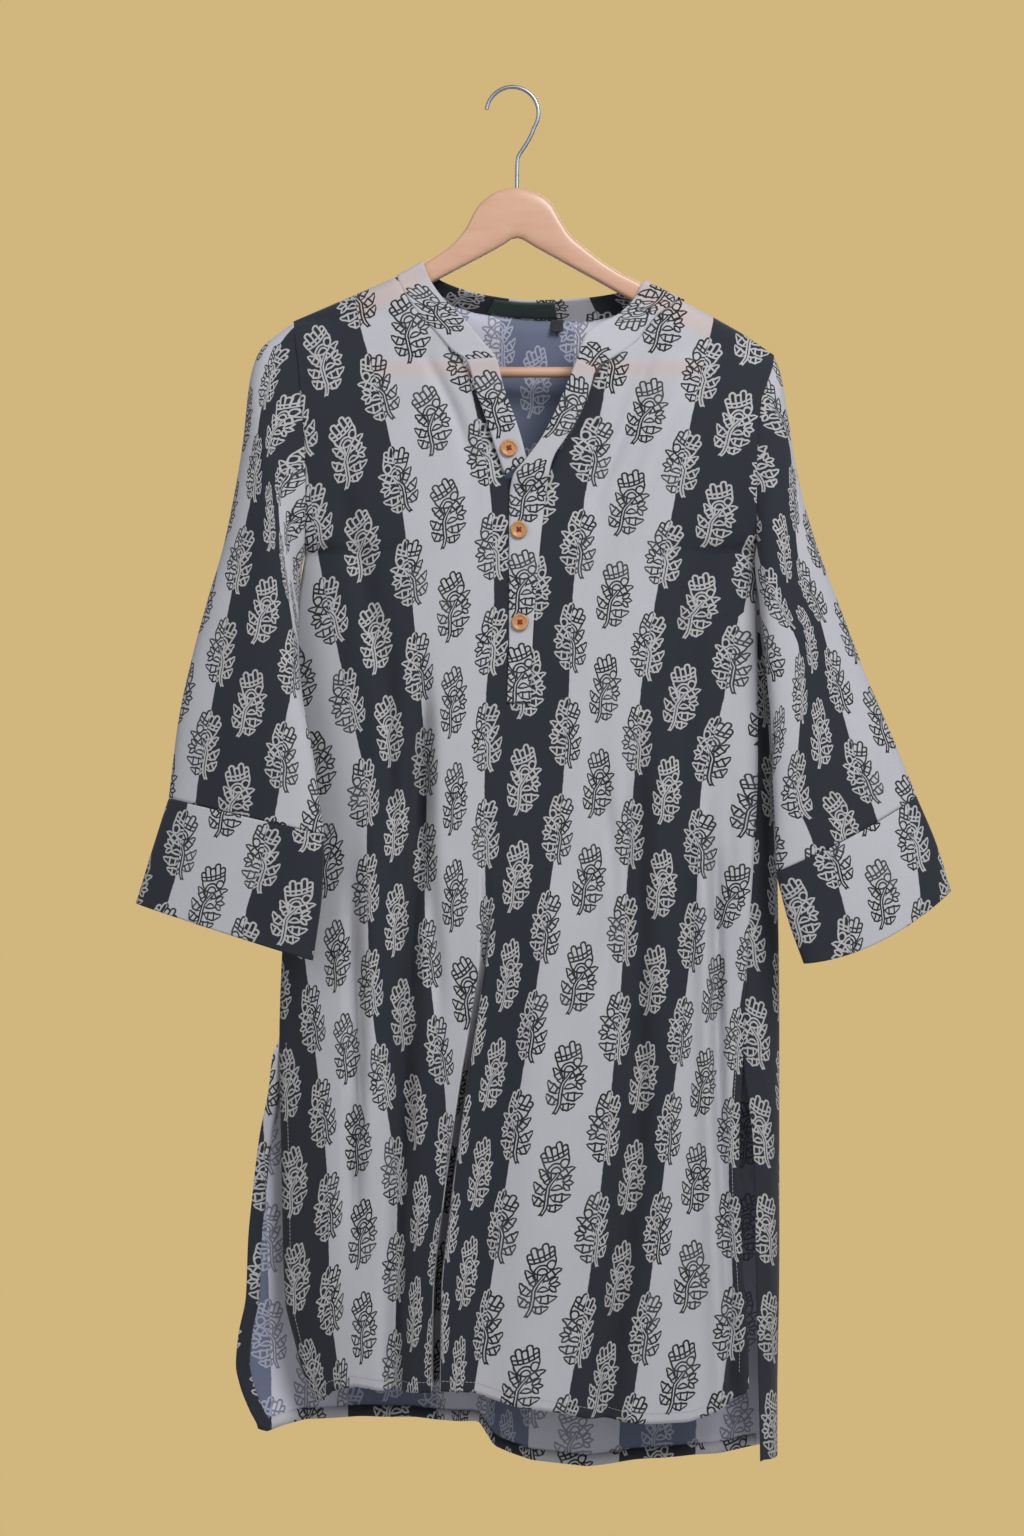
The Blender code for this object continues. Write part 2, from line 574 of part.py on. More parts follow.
def sleeve_point(rows, t, a):
    ox, oz, oy = (curve(rows, k, t) for k in (1, 2, 3))
    ix, iz, iy = (curve(rows, k, t) for k in (4, 5, 6))
    front, back, sag = (curve(rows, k, t) for k in (7, 8, 9))
    w = 0.5 * (1.0 - math.cos(a))
    bulge = -front * lens(w) if math.sin(a) >= 0.0 else back * lens(w)
    drop = sag * 4.0 * w * (1.0 - w) if math.sin(a) >= 0.0 else 0.0
    return Vector((mix(ox, ix, w), mix(oy, iy, w) + bulge, mix(oz, iz, w) - drop))


def make_sleeve(name, rows, count, side, fit):
    grid = []
    for r in range(count + 1):
        t = r / count
        ring = []
        for k in range(ROUND):
            a = 2.0 * math.pi * k / ROUND
            point = sleeve_point(rows, t, a)
            if fit:
                start = sleeve_point(rows, 0.0, a)
                column = 1 if side < 0 else 3
                want = curve(FRONT_EDGE, column, start.z) + side * RING_GAP[side]
                point.x += (want - start.x) * max(0.0, 1.0 - t / 0.24) ** 2
            ring.append(tuple(point))
        grid.append(ring)
    return cloth(name, grid, "print", closed=True, flip=(side < 0))


make_sleeve("sleeve_left", SLEEVE_LEFT, 16, -1, True)
make_sleeve("sleeve_right", SLEEVE_RIGHT, 16, 1, True)
make_sleeve("cuff_left", CUFF_LEFT, 3, -1, False)
make_sleeve("cuff_right", CUFF_RIGHT, 3, 1, False)


# Neck band: the seam line and the free edge, from the lower left end round the back.
#    seam x    y       z        edge x    y       z
BAND = (
    (-0.0078, -0.0318, -0.3426, 0.0110, -0.0318, -0.3290),
    (-0.0157, -0.0316, -0.3209, 0.0060, -0.0316, -0.3090),
    (-0.0253, -0.0312, -0.2909, -0.0005, -0.0314, -0.2891),
    (-0.0322, -0.0305, -0.2730, -0.0090, -0.0310, -0.2661),
    (-0.0418, -0.0290, -0.2420, -0.0157, -0.0300, -0.2400),
    (-0.0541, -0.0250, -0.2330, -0.0253, -0.0280, -0.2282),
    (-0.0681, -0.0220, -0.2169, -0.0358, -0.0240, -0.2147),
    (-0.0822, -0.0180, -0.2015, -0.0498, -0.0210, -0.1986),
    (-0.0946, -0.0130, -0.1841, -0.0621, -0.0160, -0.1864),
    (-0.1005, -0.0105, -0.1730, -0.0737, -0.0105, -0.1690),
    (-0.1024, -0.0085, -0.1668, -0.0798, -0.0088, -0.1545),
    (-0.1030, 0.0000, -0.1640, -0.0818, 0.0000, -0.1520),
    (-0.1024, 0.0085, -0.1660, -0.0798, 0.0080, -0.1540),
    (-0.0960, 0.0125, -0.1725, -0.0724, 0.0095, -0.1620),
    (-0.0745, 0.0205, -0.1808, -0.0548, 0.0120, -0.1710),
    (-0.0338, 0.0285, -0.1916, -0.0239, 0.0160, -0.1790),
    (0.0152, 0.0325, -0.1976, 0.0151, 0.0180, -0.1830),
    (0.0676, 0.0285, -0.1991, 0.0600, 0.0160, -0.1815),
    (0.1117, 0.0185, -0.1900, 0.0940, 0.0120, -0.1770),
    (0.1360, 0.0125, -0.1862, 0.1075, 0.0095, -0.1735),
    (0.1438, 0.0085, -0.1842, 0.1130, 0.0080, -0.1700),
    (0.1443, 0.0000, -0.1826, 0.1153, 0.0000, -0.1680),
    (0.1438, -0.0085, -0.1850, 0.1130, -0.0088, -0.1710),
    (0.1386, -0.0105, -0.1906, 0.1052, -0.0105, -0.1860),
    (0.1234, -0.0140, -0.2028, 0.0910, -0.0140, -0.2001),
    (0.1066, -0.0190, -0.2254, 0.0751, -0.0200, -0.2089),
    (0.0889, -0.0240, -0.2383, 0.0627, -0.0260, -0.2194),
    (0.0735, -0.0272, -0.2474, 0.0563, -0.0290, -0.2380),
)


def band_point(p, f):
    """A point of the neck band: p counts along its rows, f runs from seam to free edge."""
    index = [(k,) + row for k, row in enumerate(BAND)]
    seam = Vector([curve(index, k, p) for k in (1, 2, 3)])
    edge = Vector([curve(index, k, p) for k in (4, 5, 6)])
    return seam.lerp(edge, f)


def make_band():
    grid = []
    count = 2 * (len(BAND) - 1)
    for k in range(count + 1):
        p = k / 2
        grid.append([tuple(band_point(p, f)) for f in (0.07, 0.5, 1.0)])
    return cloth("neck_band", grid, "band")


make_band()


# Button placket, on top of the front: left x, z, right x, z and depth where it is free.
PLACKET = (
    (0.0548, -0.2415, 0.0705, -0.2500, -0.0312),
    (0.0486, -0.2570, 0.0655, -0.2700, -0.0320),
    (0.0356, -0.2880, 0.0550, -0.2940, -0.0332),
    (0.0234, -0.3110, 0.0440, -0.3120, -0.0344),
    (0.0110, -0.3280, 0.0350, -0.3260, -0.0348),
    (-0.0010, -0.3440, 0.0310, -0.3390, -0.0348),
    (-0.0040, -0.3620, 0.0280, -0.3600, 0.0),
    (-0.0044, -0.3926, 0.0238, -0.3926, 0.0),
    (-0.0044, -0.4250, 0.0208, -0.4250, 0.0),
    (-0.0044, -0.4560, 0.0180, -0.4560, 0.0),
    (-0.0044, -0.4864, 0.0162, -0.4864, 0.0),
    (-0.0052, -0.5150, 0.0152, -0.5150, 0.0),
    (-0.0061, -0.5411, 0.0147, -0.5411, 0.0),
)


def front_surface(x, z):
    """Depth of the outer face of the front at a place near the middle."""
    us = np.linspace(-0.16, 0.16, 65)
    xs = [front_x(float(u), z) for u in us]
    u = float(np.interp(x, xs, us))
    return front_y(x, z, u)


def placket_y(x, z, free):
    if free < 0.0:
        return free
    return front_surface(x, z) - WALL - LAY


def placket_rows():
    grid = []
    for lx, lz, rx, rz, free in PLACKET:
        row = []
        for f in (0.0, 0.5, 1.0):
            x = mix(lx, rx, f)
            z = mix(lz, rz, f)
            row.append((x, placket_y(x, z, free), z))
        grid.append(row)
    return grid


cloth("placket", placket_rows(), "band", flip=True)


# Buttons, each facing forward: x, z, and the depth of the cloth under it.
BUTTONS = (
    ("button_1", -0.0044, -0.3193, -0.0318),
    ("button_2", 0.0043, -0.3904, None),
    ("button_3", 0.0052, -0.4710, None),
)
#       share of radius, share of thickness
BUTTON_PROFILE = (
    (0.0, 0.80), (0.70, 0.80), (0.90, 0.98), (1.0, 0.6), (0.98, 0.25), (0.72, 0.0), (0.0, 0.0),
)
BUTTON_SIDES = 18


def make_button(name, x, z, under):
    if under is None:
        middle = [row[1] for row in reversed(placket_rows())]
        depths = [p[1] for p in middle]
        heights = [p[2] for p in middle]
        under = min(float(np.interp(z + step, heights, depths)) for step in (-0.006, 0.006))
    verts = [(BUTTON_R * r, 0.0, BUTTON_T * h) for r, h in BUTTON_PROFILE]
    edges = [(k, k + 1) for k in range(len(verts) - 1)]
    mesh = bpy.data.meshes.new(name)
    mesh.from_pydata(verts, edges, [])
    obj = bpy.data.objects.new(name, mesh)
    home.objects.link(obj)
    turn = obj.modifiers.new("turn", "SCREW")
    turn.steps = BUTTON_SIDES
    turn.render_steps = BUTTON_SIDES
    turn.use_merge_vertices = True
    turn.merge_threshold = 0.00002
    turn.use_normal_calculate = True
    obj.rotation_euler = (math.radians(90.0), 0.0, 0.0)
    obj.location = (x, under - BUTTON_LIFT, z)
    paint(obj, "coconut")
    return obj


for row in BUTTONS:
    make_button(*row)


# Labels inside the back of the neck band: first and last place along it, seam and edge share.
def make_label(name, start, end, low, high, lift, color):
    grid = []
    for k in range(7):
        p = mix(start, end, k / 6)
        row = []
        for f in (low, 0.5 * (low + high), high):
            here = band_point(p, f)
            along = band_point(p + 0.1, f) - band_point(p - 0.1, f)
            across = band_point(p, 1.0) - band_point(p, 0.0)
            out = along.cross(across).normalized()
            if out.y > 0.0:
                out = -out
            row.append(tuple(here + out * (WALL + lift)))
        grid.append(row)
    return cloth(name, grid, color, flip=True, wall=0.0006)


make_label("neck_label", 15.2, 16.45, 0.10, 0.92, 0.0012, "label")
make_label("size_tab", 16.52, 16.75, 0.12, 0.55, 0.0012, "tab")


# Wooden hanger body: place along it, top and bottom of the wood.
WOOD = (
    (-0.2105, -0.2275, -0.2340), (-0.2085, -0.2250, -0.2500), (-0.2050, -0.2225, -0.2560),
    (-0.1990, -0.2190, -0.2575), (-0.1932, -0.2150, -0.2560), (-0.1924, -0.2145, -0.2370),
    (-0.1800, -0.2080, -0.2265), (-0.1443, -0.1900, -0.2090), (-0.1030, -0.1700, -0.1880),
    (-0.0793, -0.1566, -0.1750), (-0.0690, -0.1470, -0.1690), (-0.0500, -0.1245, -0.1590),
    (-0.0334, -0.1062, -0.1503), (-0.0200, -0.0955, -0.1434), (-0.0080, -0.0890, -0.1365),
    (0.0026, -0.0871, -0.1312), (0.0130, -0.0885, -0.1360), (0.0230, -0.0925, -0.1416),
    (0.0350, -0.1000, -0.1482), (0.0550, -0.1225, -0.1592), (0.0740, -0.1450, -0.1695),
    (0.0858, -0.1570, -0.1762), (0.1116, -0.1725, -0.1905), (0.1443, -0.1905, -0.2085),
    (0.1760, -0.2075, -0.2255), (0.1942, -0.2190, -0.2370), (0.1950, -0.2195, -0.2560),
    (0.2000, -0.2225, -0.2575), (0.2060, -0.2270, -0.2560), (0.2095, -0.2300, -0.2500),
    (0.2112, -0.2330, -0.2400),
)
ROUNDING = ((-1.0, 0.30), (-0.72, 0.06), (0.0, 0.0), (0.72, 0.06), (1.0, 0.30))


def make_wood():
    verts = []
    for x, top, low in WOOD:
        height = top - low
        edge = min(0.010, 0.45 * height)
        ends = 0.75 if abs(x) > 0.2075 else 1.0
        ring = [(y * WOOD_HALF * ends, top - cut * edge) for y, cut in ROUNDING]
        ring += [(-y * WOOD_HALF * ends, low + cut * edge) for y, cut in ROUNDING]
        verts += [(x, y, z) for y, z in ring]
    sides = 2 * len(ROUNDING)
    faces = grid_faces(len(WOOD), sides, True, False)
    faces.append(tuple(range(sides)))
    last = (len(WOOD) - 1) * sides
    faces.append(tuple(range(last, last + sides)))
    obj = add("hanger_body", verts, faces, "wood")
    close_up(obj.data)
    return obj


make_wood()
BAR_ENDS = (-0.1919, 0.1937)
BAR_Z = -0.2493
bar_line = [(mix(BAR_ENDS[0], BAR_ENDS[1], k / 4), 0.0, BAR_Z) for k in range(5)]
tube("hanger_bar", bar_line, BAR_R, "wood")


# Steel hook: a crown arc about its middle, then a neck down to the wood.
HOOK_MIDDLE = (-0.0013, -0.0211)
HOOK_TAIL = (
    (0.0168, -0.0366), (0.0125, -0.0425), (0.0084, -0.0482), (0.0055, -0.0535),
    (0.0040, -0.0590), (0.0033, -0.0660), (0.0029, -0.0760), (0.0026, -0.0867),
)


def make_hook():
    points = []
    for k in range(17):
        a = math.radians(mix(172.0, -32.0, k / 16))
        x = HOOK_MIDDLE[0] + HOOK_R * math.cos(a)
        z = HOOK_MIDDLE[1] + HOOK_R * math.sin(a)
        points.append((x, 0.0, z))
    points += [(x, 0.0, z) for x, z in HOOK_TAIL]
    return tube("hanger_hook", points, WIRE_R, "steel")


make_hook()
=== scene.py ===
import math

import bmesh
import bpy
import numpy as np
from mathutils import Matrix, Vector


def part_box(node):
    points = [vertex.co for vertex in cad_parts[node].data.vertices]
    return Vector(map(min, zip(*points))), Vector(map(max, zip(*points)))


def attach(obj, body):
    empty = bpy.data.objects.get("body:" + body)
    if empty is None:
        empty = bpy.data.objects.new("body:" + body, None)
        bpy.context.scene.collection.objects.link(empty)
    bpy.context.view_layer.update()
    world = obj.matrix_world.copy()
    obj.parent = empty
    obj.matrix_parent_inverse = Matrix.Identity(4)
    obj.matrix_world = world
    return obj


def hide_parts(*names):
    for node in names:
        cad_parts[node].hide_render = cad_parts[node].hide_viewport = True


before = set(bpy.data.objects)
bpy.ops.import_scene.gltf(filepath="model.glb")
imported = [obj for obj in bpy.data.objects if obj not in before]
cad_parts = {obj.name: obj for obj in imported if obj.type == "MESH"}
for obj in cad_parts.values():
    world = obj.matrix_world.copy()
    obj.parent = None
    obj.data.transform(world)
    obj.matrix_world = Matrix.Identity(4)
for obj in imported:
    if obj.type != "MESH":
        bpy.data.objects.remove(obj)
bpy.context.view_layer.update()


# The studio: a plain khaki backdrop colour, a pale floor well below the hem, soft lamps in
# front and overhead, and a camera straight in front at about half the height of the tunic.
EYE = (-0.00176, -2.63, -0.59754)
LENS = 36.0 * 2.6 / (2.0 * 0.66816)
BACKDROP = (0.638, 0.468, 0.209, 1.0)
FLOOR_COLOR = (0.72, 0.70, 0.66, 1.0)
FLOOR_Z = -2.05
LAMPS = (
    ("key", (1.2, -2.2, 1.25), (0.0, 0.0, -0.3), 1.5, 65.0),
    ("fill", (-1.9, -2.2, 0.6), (0.0, 0.0, -0.4), 1.8, 14.0),
    ("back", (0.6, 2.4, 0.6), (0.0, 0.0, -0.6), 2.2, 26.0),
)

bpy.context.scene.view_settings.view_transform = "Standard"
camera = bpy.data.objects.new("camera", bpy.data.cameras.new("camera"))
bpy.context.scene.collection.objects.link(camera)
camera.location = EYE
camera.rotation_euler = (math.radians(90.0), 0.0, 0.0)
camera.data.lens = LENS
camera.data.clip_end = 60.0
bpy.context.scene.camera = camera

for name, place, aim, size, power in LAMPS:
    lamp = bpy.data.objects.new(name, bpy.data.lights.new(name, "AREA"))
    lamp.data.energy = power
    lamp.data.shape = "DISK"
    lamp.data.size = size
    lamp.location = place
    lamp.rotation_euler = (Vector(aim) - Vector(place)).to_track_quat("-Z", "Y").to_euler()
    bpy.context.scene.collection.objects.link(lamp)

world = bpy.data.worlds.new("studio")
bpy.context.scene.world = world
world.use_nodes = True
sky = world.node_tree.nodes["Background"]
sky.inputs["Color"].default_value = (1.0, 1.0, 1.0, 1.0)
sky.inputs["Strength"].default_value = 0.245
shown = world.node_tree.nodes.new("ShaderNodeBackground")
shown.inputs["Color"].default_value = BACKDROP
path = world.node_tree.nodes.new("ShaderNodeLightPath")
either = world.node_tree.nodes.new("ShaderNodeMixShader")
world.node_tree.links.new(path.outputs["Is Camera Ray"], either.inputs[0])
world.node_tree.links.new(sky.outputs[0], either.inputs[1])
world.node_tree.links.new(shown.outputs[0], either.inputs[2])
world.node_tree.links.new(either.outputs[0], world.node_tree.nodes["World Output"].inputs[0])

floor_mesh = bpy.data.meshes.new("floor")
floor_mesh.from_pydata(
    [(-2.0, -1.8, FLOOR_Z), (2.0, -1.8, FLOOR_Z), (2.0, 1.8, FLOOR_Z), (-2.0, 1.8, FLOOR_Z)],
    [],
    [(0, 1, 2, 3)],
)
floor = bpy.data.objects.new("floor", floor_mesh)
bpy.context.scene.collection.objects.link(floor)
floor_finish = bpy.data.materials.new("floor_paint")
floor_finish.use_nodes = True
floor_finish.node_tree.nodes["Principled BSDF"].inputs["Base Color"].default_value = FLOOR_COLOR
floor_mesh.materials.append(floor_finish)


# The hanger's shoulders: one flat piece of beech, steam bent and rounded over, with a notch
# cut under each end. It is lacquered, so it shines a little, with a fine grain along it.
#       place    top      bottom
WOOD = (
    (-0.2105, -0.2275, -0.2340), (-0.2085, -0.2250, -0.2500), (-0.2050, -0.2225, -0.2560),
    (-0.1990, -0.2190, -0.2575), (-0.1932, -0.2150, -0.2560), (-0.1924, -0.2145, -0.2370),
    (-0.1800, -0.2080, -0.2265), (-0.1443, -0.1900, -0.2090), (-0.1030, -0.1700, -0.1880),
    (-0.0783, -0.1540, -0.1744), (-0.0678, -0.1470, -0.1684), (-0.0563, -0.1387, -0.1623),
    (-0.0431, -0.1241, -0.1554), (-0.0343, -0.1074, -0.1508), (-0.0282, -0.0995, -0.1476),
    (-0.0123, -0.0894, -0.1390), (0.0026, -0.0871, -0.1312), (0.0185, -0.0907, -0.1391),
    (0.0317, -0.0995, -0.1464), (0.0405, -0.1144, -0.1512), (0.0493, -0.1285, -0.1561),
    (0.0581, -0.1364, -0.1609), (0.0757, -0.1505, -0.1705), (0.0933, -0.1619, -0.1804),
    (0.1109, -0.1706, -0.1901), (0.1443, -0.1905, -0.2085),
    (0.1760, -0.2075, -0.2255), (0.1942, -0.2190, -0.2370), (0.1950, -0.2195, -0.2560),
    (0.2000, -0.2225, -0.2575), (0.2060, -0.2270, -0.2560), (0.2095, -0.2300, -0.2500),
    (0.2112, -0.2330, -0.2400),
)
WOOD_HALF = 0.0060
WOOD_SIDES = 28
WOOD_ROUNDED_END = 0.006
WOOD_END_SHARE = 0.55
WOOD_FACE_POWER = 2.0 / 3.4
WOOD_EDGE_POWER = 2.0 / 4.2


def between(keys, vals, at):
    """Smooth values at places among rising keys. A value may be a number or a row of them."""
    keys = np.array(keys, float)
    at = np.clip(np.asarray(at, float), keys[0], keys[-1])
    vals = np.stack([np.broadcast_to(v, at.shape) for v in vals])
    gap = np.diff(keys).reshape((-1,) + (1,) * at.ndim)
    rise = np.diff(vals, axis=0) / gap
    both = rise[:-1] * rise[1:]
    same = both > 0.0
    inner = np.where(same, 2.0 * both / np.where(same, rise[:-1] + rise[1:], 1.0), 0.0)
    slope = np.concatenate([rise[:1], inner, rise[-1:]])
    i = np.clip(np.searchsorted(keys, at) - 1, 0, len(keys) - 2)

    def pick(rows, k):
        return np.take_along_axis(rows, k[np.newaxis], axis=0)[0]

    step = np.diff(keys)[i]
    f = (at - keys[i]) / step
    from_low = (1.0 + 2.0 * f) * (1.0 - f) ** 2 * pick(vals, i)
    from_high = f * f * (3.0 - 2.0 * f) * pick(vals, i + 1)
    bend = f * (1.0 - f) ** 2 * pick(slope, i) + f * f * (f - 1.0) * pick(slope, i + 1)
    return from_low + from_high + step * bend


def curve(table, column, at):
    """Smooth values of one column of a table, by its first column."""
    rows = sorted(table, key=lambda row: row[0])
    return between([row[0] for row in rows], [row[column] for row in rows], at)


def column_of(table, k):
    return [row[k] for row in table]


def mix(a, b, f):
    return a + (b - a) * f


def ring(middle, radius, count):
    """Points round a circle that faces front."""
    turns = [2.0 * math.pi * k / count for k in range(count)]
    return [middle + Vector((radius * math.cos(a), 0.0, radius * math.sin(a))) for a in turns]


def new_mesh(name, verts, faces, materials, smooth=True):
    mesh = bpy.data.meshes.new(name)
    mesh.from_pydata([tuple(v) for v in verts], [], faces)
    mesh.update()
    if smooth:
        mesh.shade_smooth()
    for material in materials:
        mesh.materials.append(material)
    obj = bpy.data.objects.new(name, mesh)
    bpy.context.scene.collection.objects.link(obj)
    return obj


def face_outward(obj, weld=0.0):
    """Turn all faces of a closed shape outward, with its doubled points welded first."""
    bm = bmesh.new()
    bm.from_mesh(obj.data)
    if weld:
        bmesh.ops.remove_doubles(bm, verts=bm.verts, dist=weld)
    bmesh.ops.recalc_face_normals(bm, faces=bm.faces)
    bm.to_mesh(obj.data)
    bm.free()


def strip_faces(rows, cols, closed, flip):
    """Faces between rows of points, each row joined to itself if closed."""
    faces = []
    for r in range(rows - 1):
        for c in range(cols if closed else cols - 1):
            n = (c + 1) % cols
            a, b = r * cols + c, r * cols + n
            d, e = a + cols, b + cols
            faces.append((a, d, e, b) if flip else (a, b, e, d))
    return faces


class Wire:
    """An output in a material, so that arithmetic on it reads as plain sums."""

    def __init__(self, tree, out=None):
        self.tree = tree
        self.out = out

    def node(self, kind, values=(), pick=0, stops=None, **settings):
        """Any node: its settings first, then the values or links of its sockets."""
        made = self.tree.nodes.new(kind)
        for key, value in settings.items():
            setattr(made, key, value)
        if stops:
            ramp = made.color_ramp.elements
            while len(ramp) < len(stops):
                ramp.new(0.5)
            for element, (place, color) in zip(ramp, stops):
                element.position = place
                element.color = color
        for key, value in dict(values).items():
            if isinstance(value, Wire):
                self.tree.links.new(value.out, made.inputs[key])
            else:
                made.inputs[key].default_value = value
        return Wire(self.tree, made.outputs[pick])

    def math(self, operation, *values):
        return self.node("ShaderNodeMath", enumerate(values), operation=operation)

    def __add__(self, other):
        return self.math("ADD", self, other)

    def __radd__(self, other):
        return self.math("ADD", other, self)

    def __sub__(self, other):
        return self.math("SUBTRACT", self, other)

    def __rsub__(self, other):
        return self.math("SUBTRACT", other, self)

    def __mul__(self, other):
        return self.math("MULTIPLY", self, other)

    def __rmul__(self, other):
        return self.math("MULTIPLY", other, self)

    def __truediv__(self, other):
        return self.math("DIVIDE", self, other)

    def __abs__(self):
        return self.math("ABSOLUTE", self)

    def least(self, other):
        return self.math("MINIMUM", self, other)

    def most(self, other):
        return self.math("MAXIMUM", self, other)

    def other(self, name):
        """Another output of the same node."""
        return Wire(self.tree, self.out.node.outputs[name])

    def vector(self, operation, *values, scale=None):
        values = dict(enumerate((self,) + values))
        if scale is not None:
            values["Scale"] = scale
        return self.node("ShaderNodeVectorMath", values, operation=operation)

    def step(self, low, high):
        """0 below low, 1 above high, and a straight ramp between."""
        values = {"Value": self, "From Min": low, "From Max": high}
        return self.node("ShaderNodeMapRange", values)

    def blend(self, first, second):
        """First colour where this is 0, second where it is 1."""
        return self.node(
            "ShaderNodeMix", {0: self, 6: first, 7: second}, pick=2, data_type="RGBA"
        )


def finish_of(name):
    """A new material: its tree's start and its main shader."""
    material = bpy.data.materials.new(name)
    material.use_nodes = True
    tree = material.node_tree
    return material, Wire(tree), tree.nodes["Principled BSDF"]


def feed(shader, **links):
    """Links and values for the main shader's sockets, by their names."""
    for key, value in links.items():
        socket = shader.inputs[key.replace("_", " ")]
        if isinstance(value, Wire):
            value.tree.links.new(value.out, socket)
        else:
            socket.default_value = value


def make_varnished_wood():
    material, start, shader = finish_of("varnished_beech")
    place = start.node("ShaderNodeTexCoord", pick=3)
    along = start.node("ShaderNodeMapping", {"Vector": place, "Scale": (9.0, 140.0, 60.0)})
    grain = start.node("ShaderNodeTexNoise", {"Vector": along, "Scale": 3.0, "Detail": 6.0})
    fleck = start.node("ShaderNodeMapping", {"Vector": place, "Scale": (160.0, 900.0, 900.0)})
    flecks = start.node("ShaderNodeTexNoise", {"Vector": fleck, "Scale": 1.0, "Detail": 2.0})
    tone = grain.step(0.30, 0.72).blend((0.665, 0.385, 0.255, 1.0), (0.720, 0.440, 0.305, 1.0))
    dark = flecks.step(0.62, 0.80) * 0.20
    color = dark.blend(tone, (0.50, 0.24, 0.14, 1.0))
    height = start.node("ShaderNodeBump", {"Height": grain, "Strength": 0.06, "Distance": 0.0004})
    feed(shader, Base_Color=color, Normal=height, Roughness=0.38)
    feed(shader, Coat_Weight=0.38, Coat_Roughness=0.28)
    return material


beech = make_varnished_wood()


def make_shoulders():
    spans = [np.linspace(a[0], b[0], 5)[:-1] for a, b in zip(WOOD, WOOD[1:])]
    xs = np.concatenate(spans + [[WOOD[-1][0]]])
    verts = []
    for x in xs:
        top, low = float(curve(WOOD, 1, x)), float(curve(WOOD, 2, x))
        from_end = min(x - WOOD[0][0], WOOD[-1][0] - x)
        near_end = 1.0 - min(1.0, from_end / WOOD_ROUNDED_END)
        plump = mix(WOOD_END_SHARE, 1.0, math.sqrt(max(0.0, 1.0 - near_end ** 2)))
        tall = 0.5 * (top - low) * plump
        for k in range(WOOD_SIDES):
            a = 2.0 * math.pi * k / WOOD_SIDES
            c, s = math.cos(a), math.sin(a)
            y = WOOD_HALF * plump * math.copysign(abs(c) ** WOOD_FACE_POWER, c)
            z = 0.5 * (top + low) + tall * math.copysign(abs(s) ** WOOD_EDGE_POWER, s)
            verts.append((x, y, z))
    faces = strip_faces(len(xs), WOOD_SIDES, True, False)
    for first in (0, (len(xs) - 1) * WOOD_SIDES):
        faces.append(tuple(range(first, first + WOOD_SIDES)))
    obj = new_mesh("hanger_shoulders", verts, faces, [beech])
    face_outward(obj)
    return obj


shoulders = make_shoulders()
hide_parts("hanger_body")
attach(shoulders, "root")


# The trouser bar: a turned beech dowel, glued into a drilled hole near each end of the
# shoulders. It has the same lacquer, and only its middle shows inside the neck.
BAR_ENDS = (-0.1925, 0.1943)
BAR_Z = -0.2493
BAR_R = 0.00475


def rod(name, points, radius, material, sides=20):
    """A round rod along points, as a mesh with flat capped ends."""
    line = bpy.data.curves.new(name, "CURVE")
    line.dimensions = "3D"
    line.bevel_depth = radius
    line.bevel_resolution = sides // 4
    line.use_fill_caps = True
    spline = line.splines.new("POLY")
    spline.points.add(len(points) - 1)
    for point, place in zip(spline.points, points):
        point.co = (place[0], place[1], place[2], 1.0)
    holder = bpy.data.objects.new(name, line)
    bpy.context.scene.collection.objects.link(holder)
    bpy.context.view_layer.update()
    graph = bpy.context.evaluated_depsgraph_get()
    mesh = bpy.data.meshes.new_from_object(holder.evaluated_get(graph))
    bpy.data.objects.remove(holder)
    bpy.data.curves.remove(line)
    mesh.name = name
    mesh.shade_smooth()
    mesh.materials.clear()
    mesh.materials.append(material)
    obj = bpy.data.objects.new(name, mesh)
    bpy.context.scene.collection.objects.link(obj)
    return obj


bar_line = [(x, 0.0, BAR_Z) for x in np.linspace(BAR_ENDS[0], BAR_ENDS[1], 13)]
bar = rod("trouser_bar", bar_line, BAR_R, beech)
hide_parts("hanger_bar")
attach(bar, "root")


# The hook: one bright plated steel wire, bent round to a crown and turned straight down. Its
# threaded foot is screwed into the middle of the wood.
WIRE_R = 0.0018
HOOK_R = 0.0229
HOOK_MIDDLE = (-0.0013, -0.0211)
HOOK_TURN = (172.0, -32.0)
HOOK_STEPS = 64
TAIL_STEPS = 40
# Place across and height of the wire below its turn.
HOOK_TAIL = (
    (0.0150, -0.0410), (0.0110, -0.0482), (0.0075, -0.0535), (0.0046, -0.0580),
    (0.0033, -0.0622), (0.0029, -0.0700), (0.0027, -0.0790), (0.0026, -0.0880),
)


def make_steel():
    material, start, shader = finish_of("plated_steel")
    place = start.node("ShaderNodeTexCoord", pick=3)
    haze = start.node("ShaderNodeTexNoise", {"Vector": place, "Scale": 90.0, "Detail": 2.0})
    wear = start.node("ShaderNodeTexNoise", {"Vector": place, "Scale": 45.0, "Detail": 2.0})
    color = wear.step(0.3, 0.75).blend((0.44, 0.48, 0.51, 1.0), (0.37, 0.41, 0.44, 1.0))
    feed(shader, Base_Color=color, Metallic=1.0, Roughness=haze.step(0.2, 0.8) * 0.05 + 0.36)
    return material


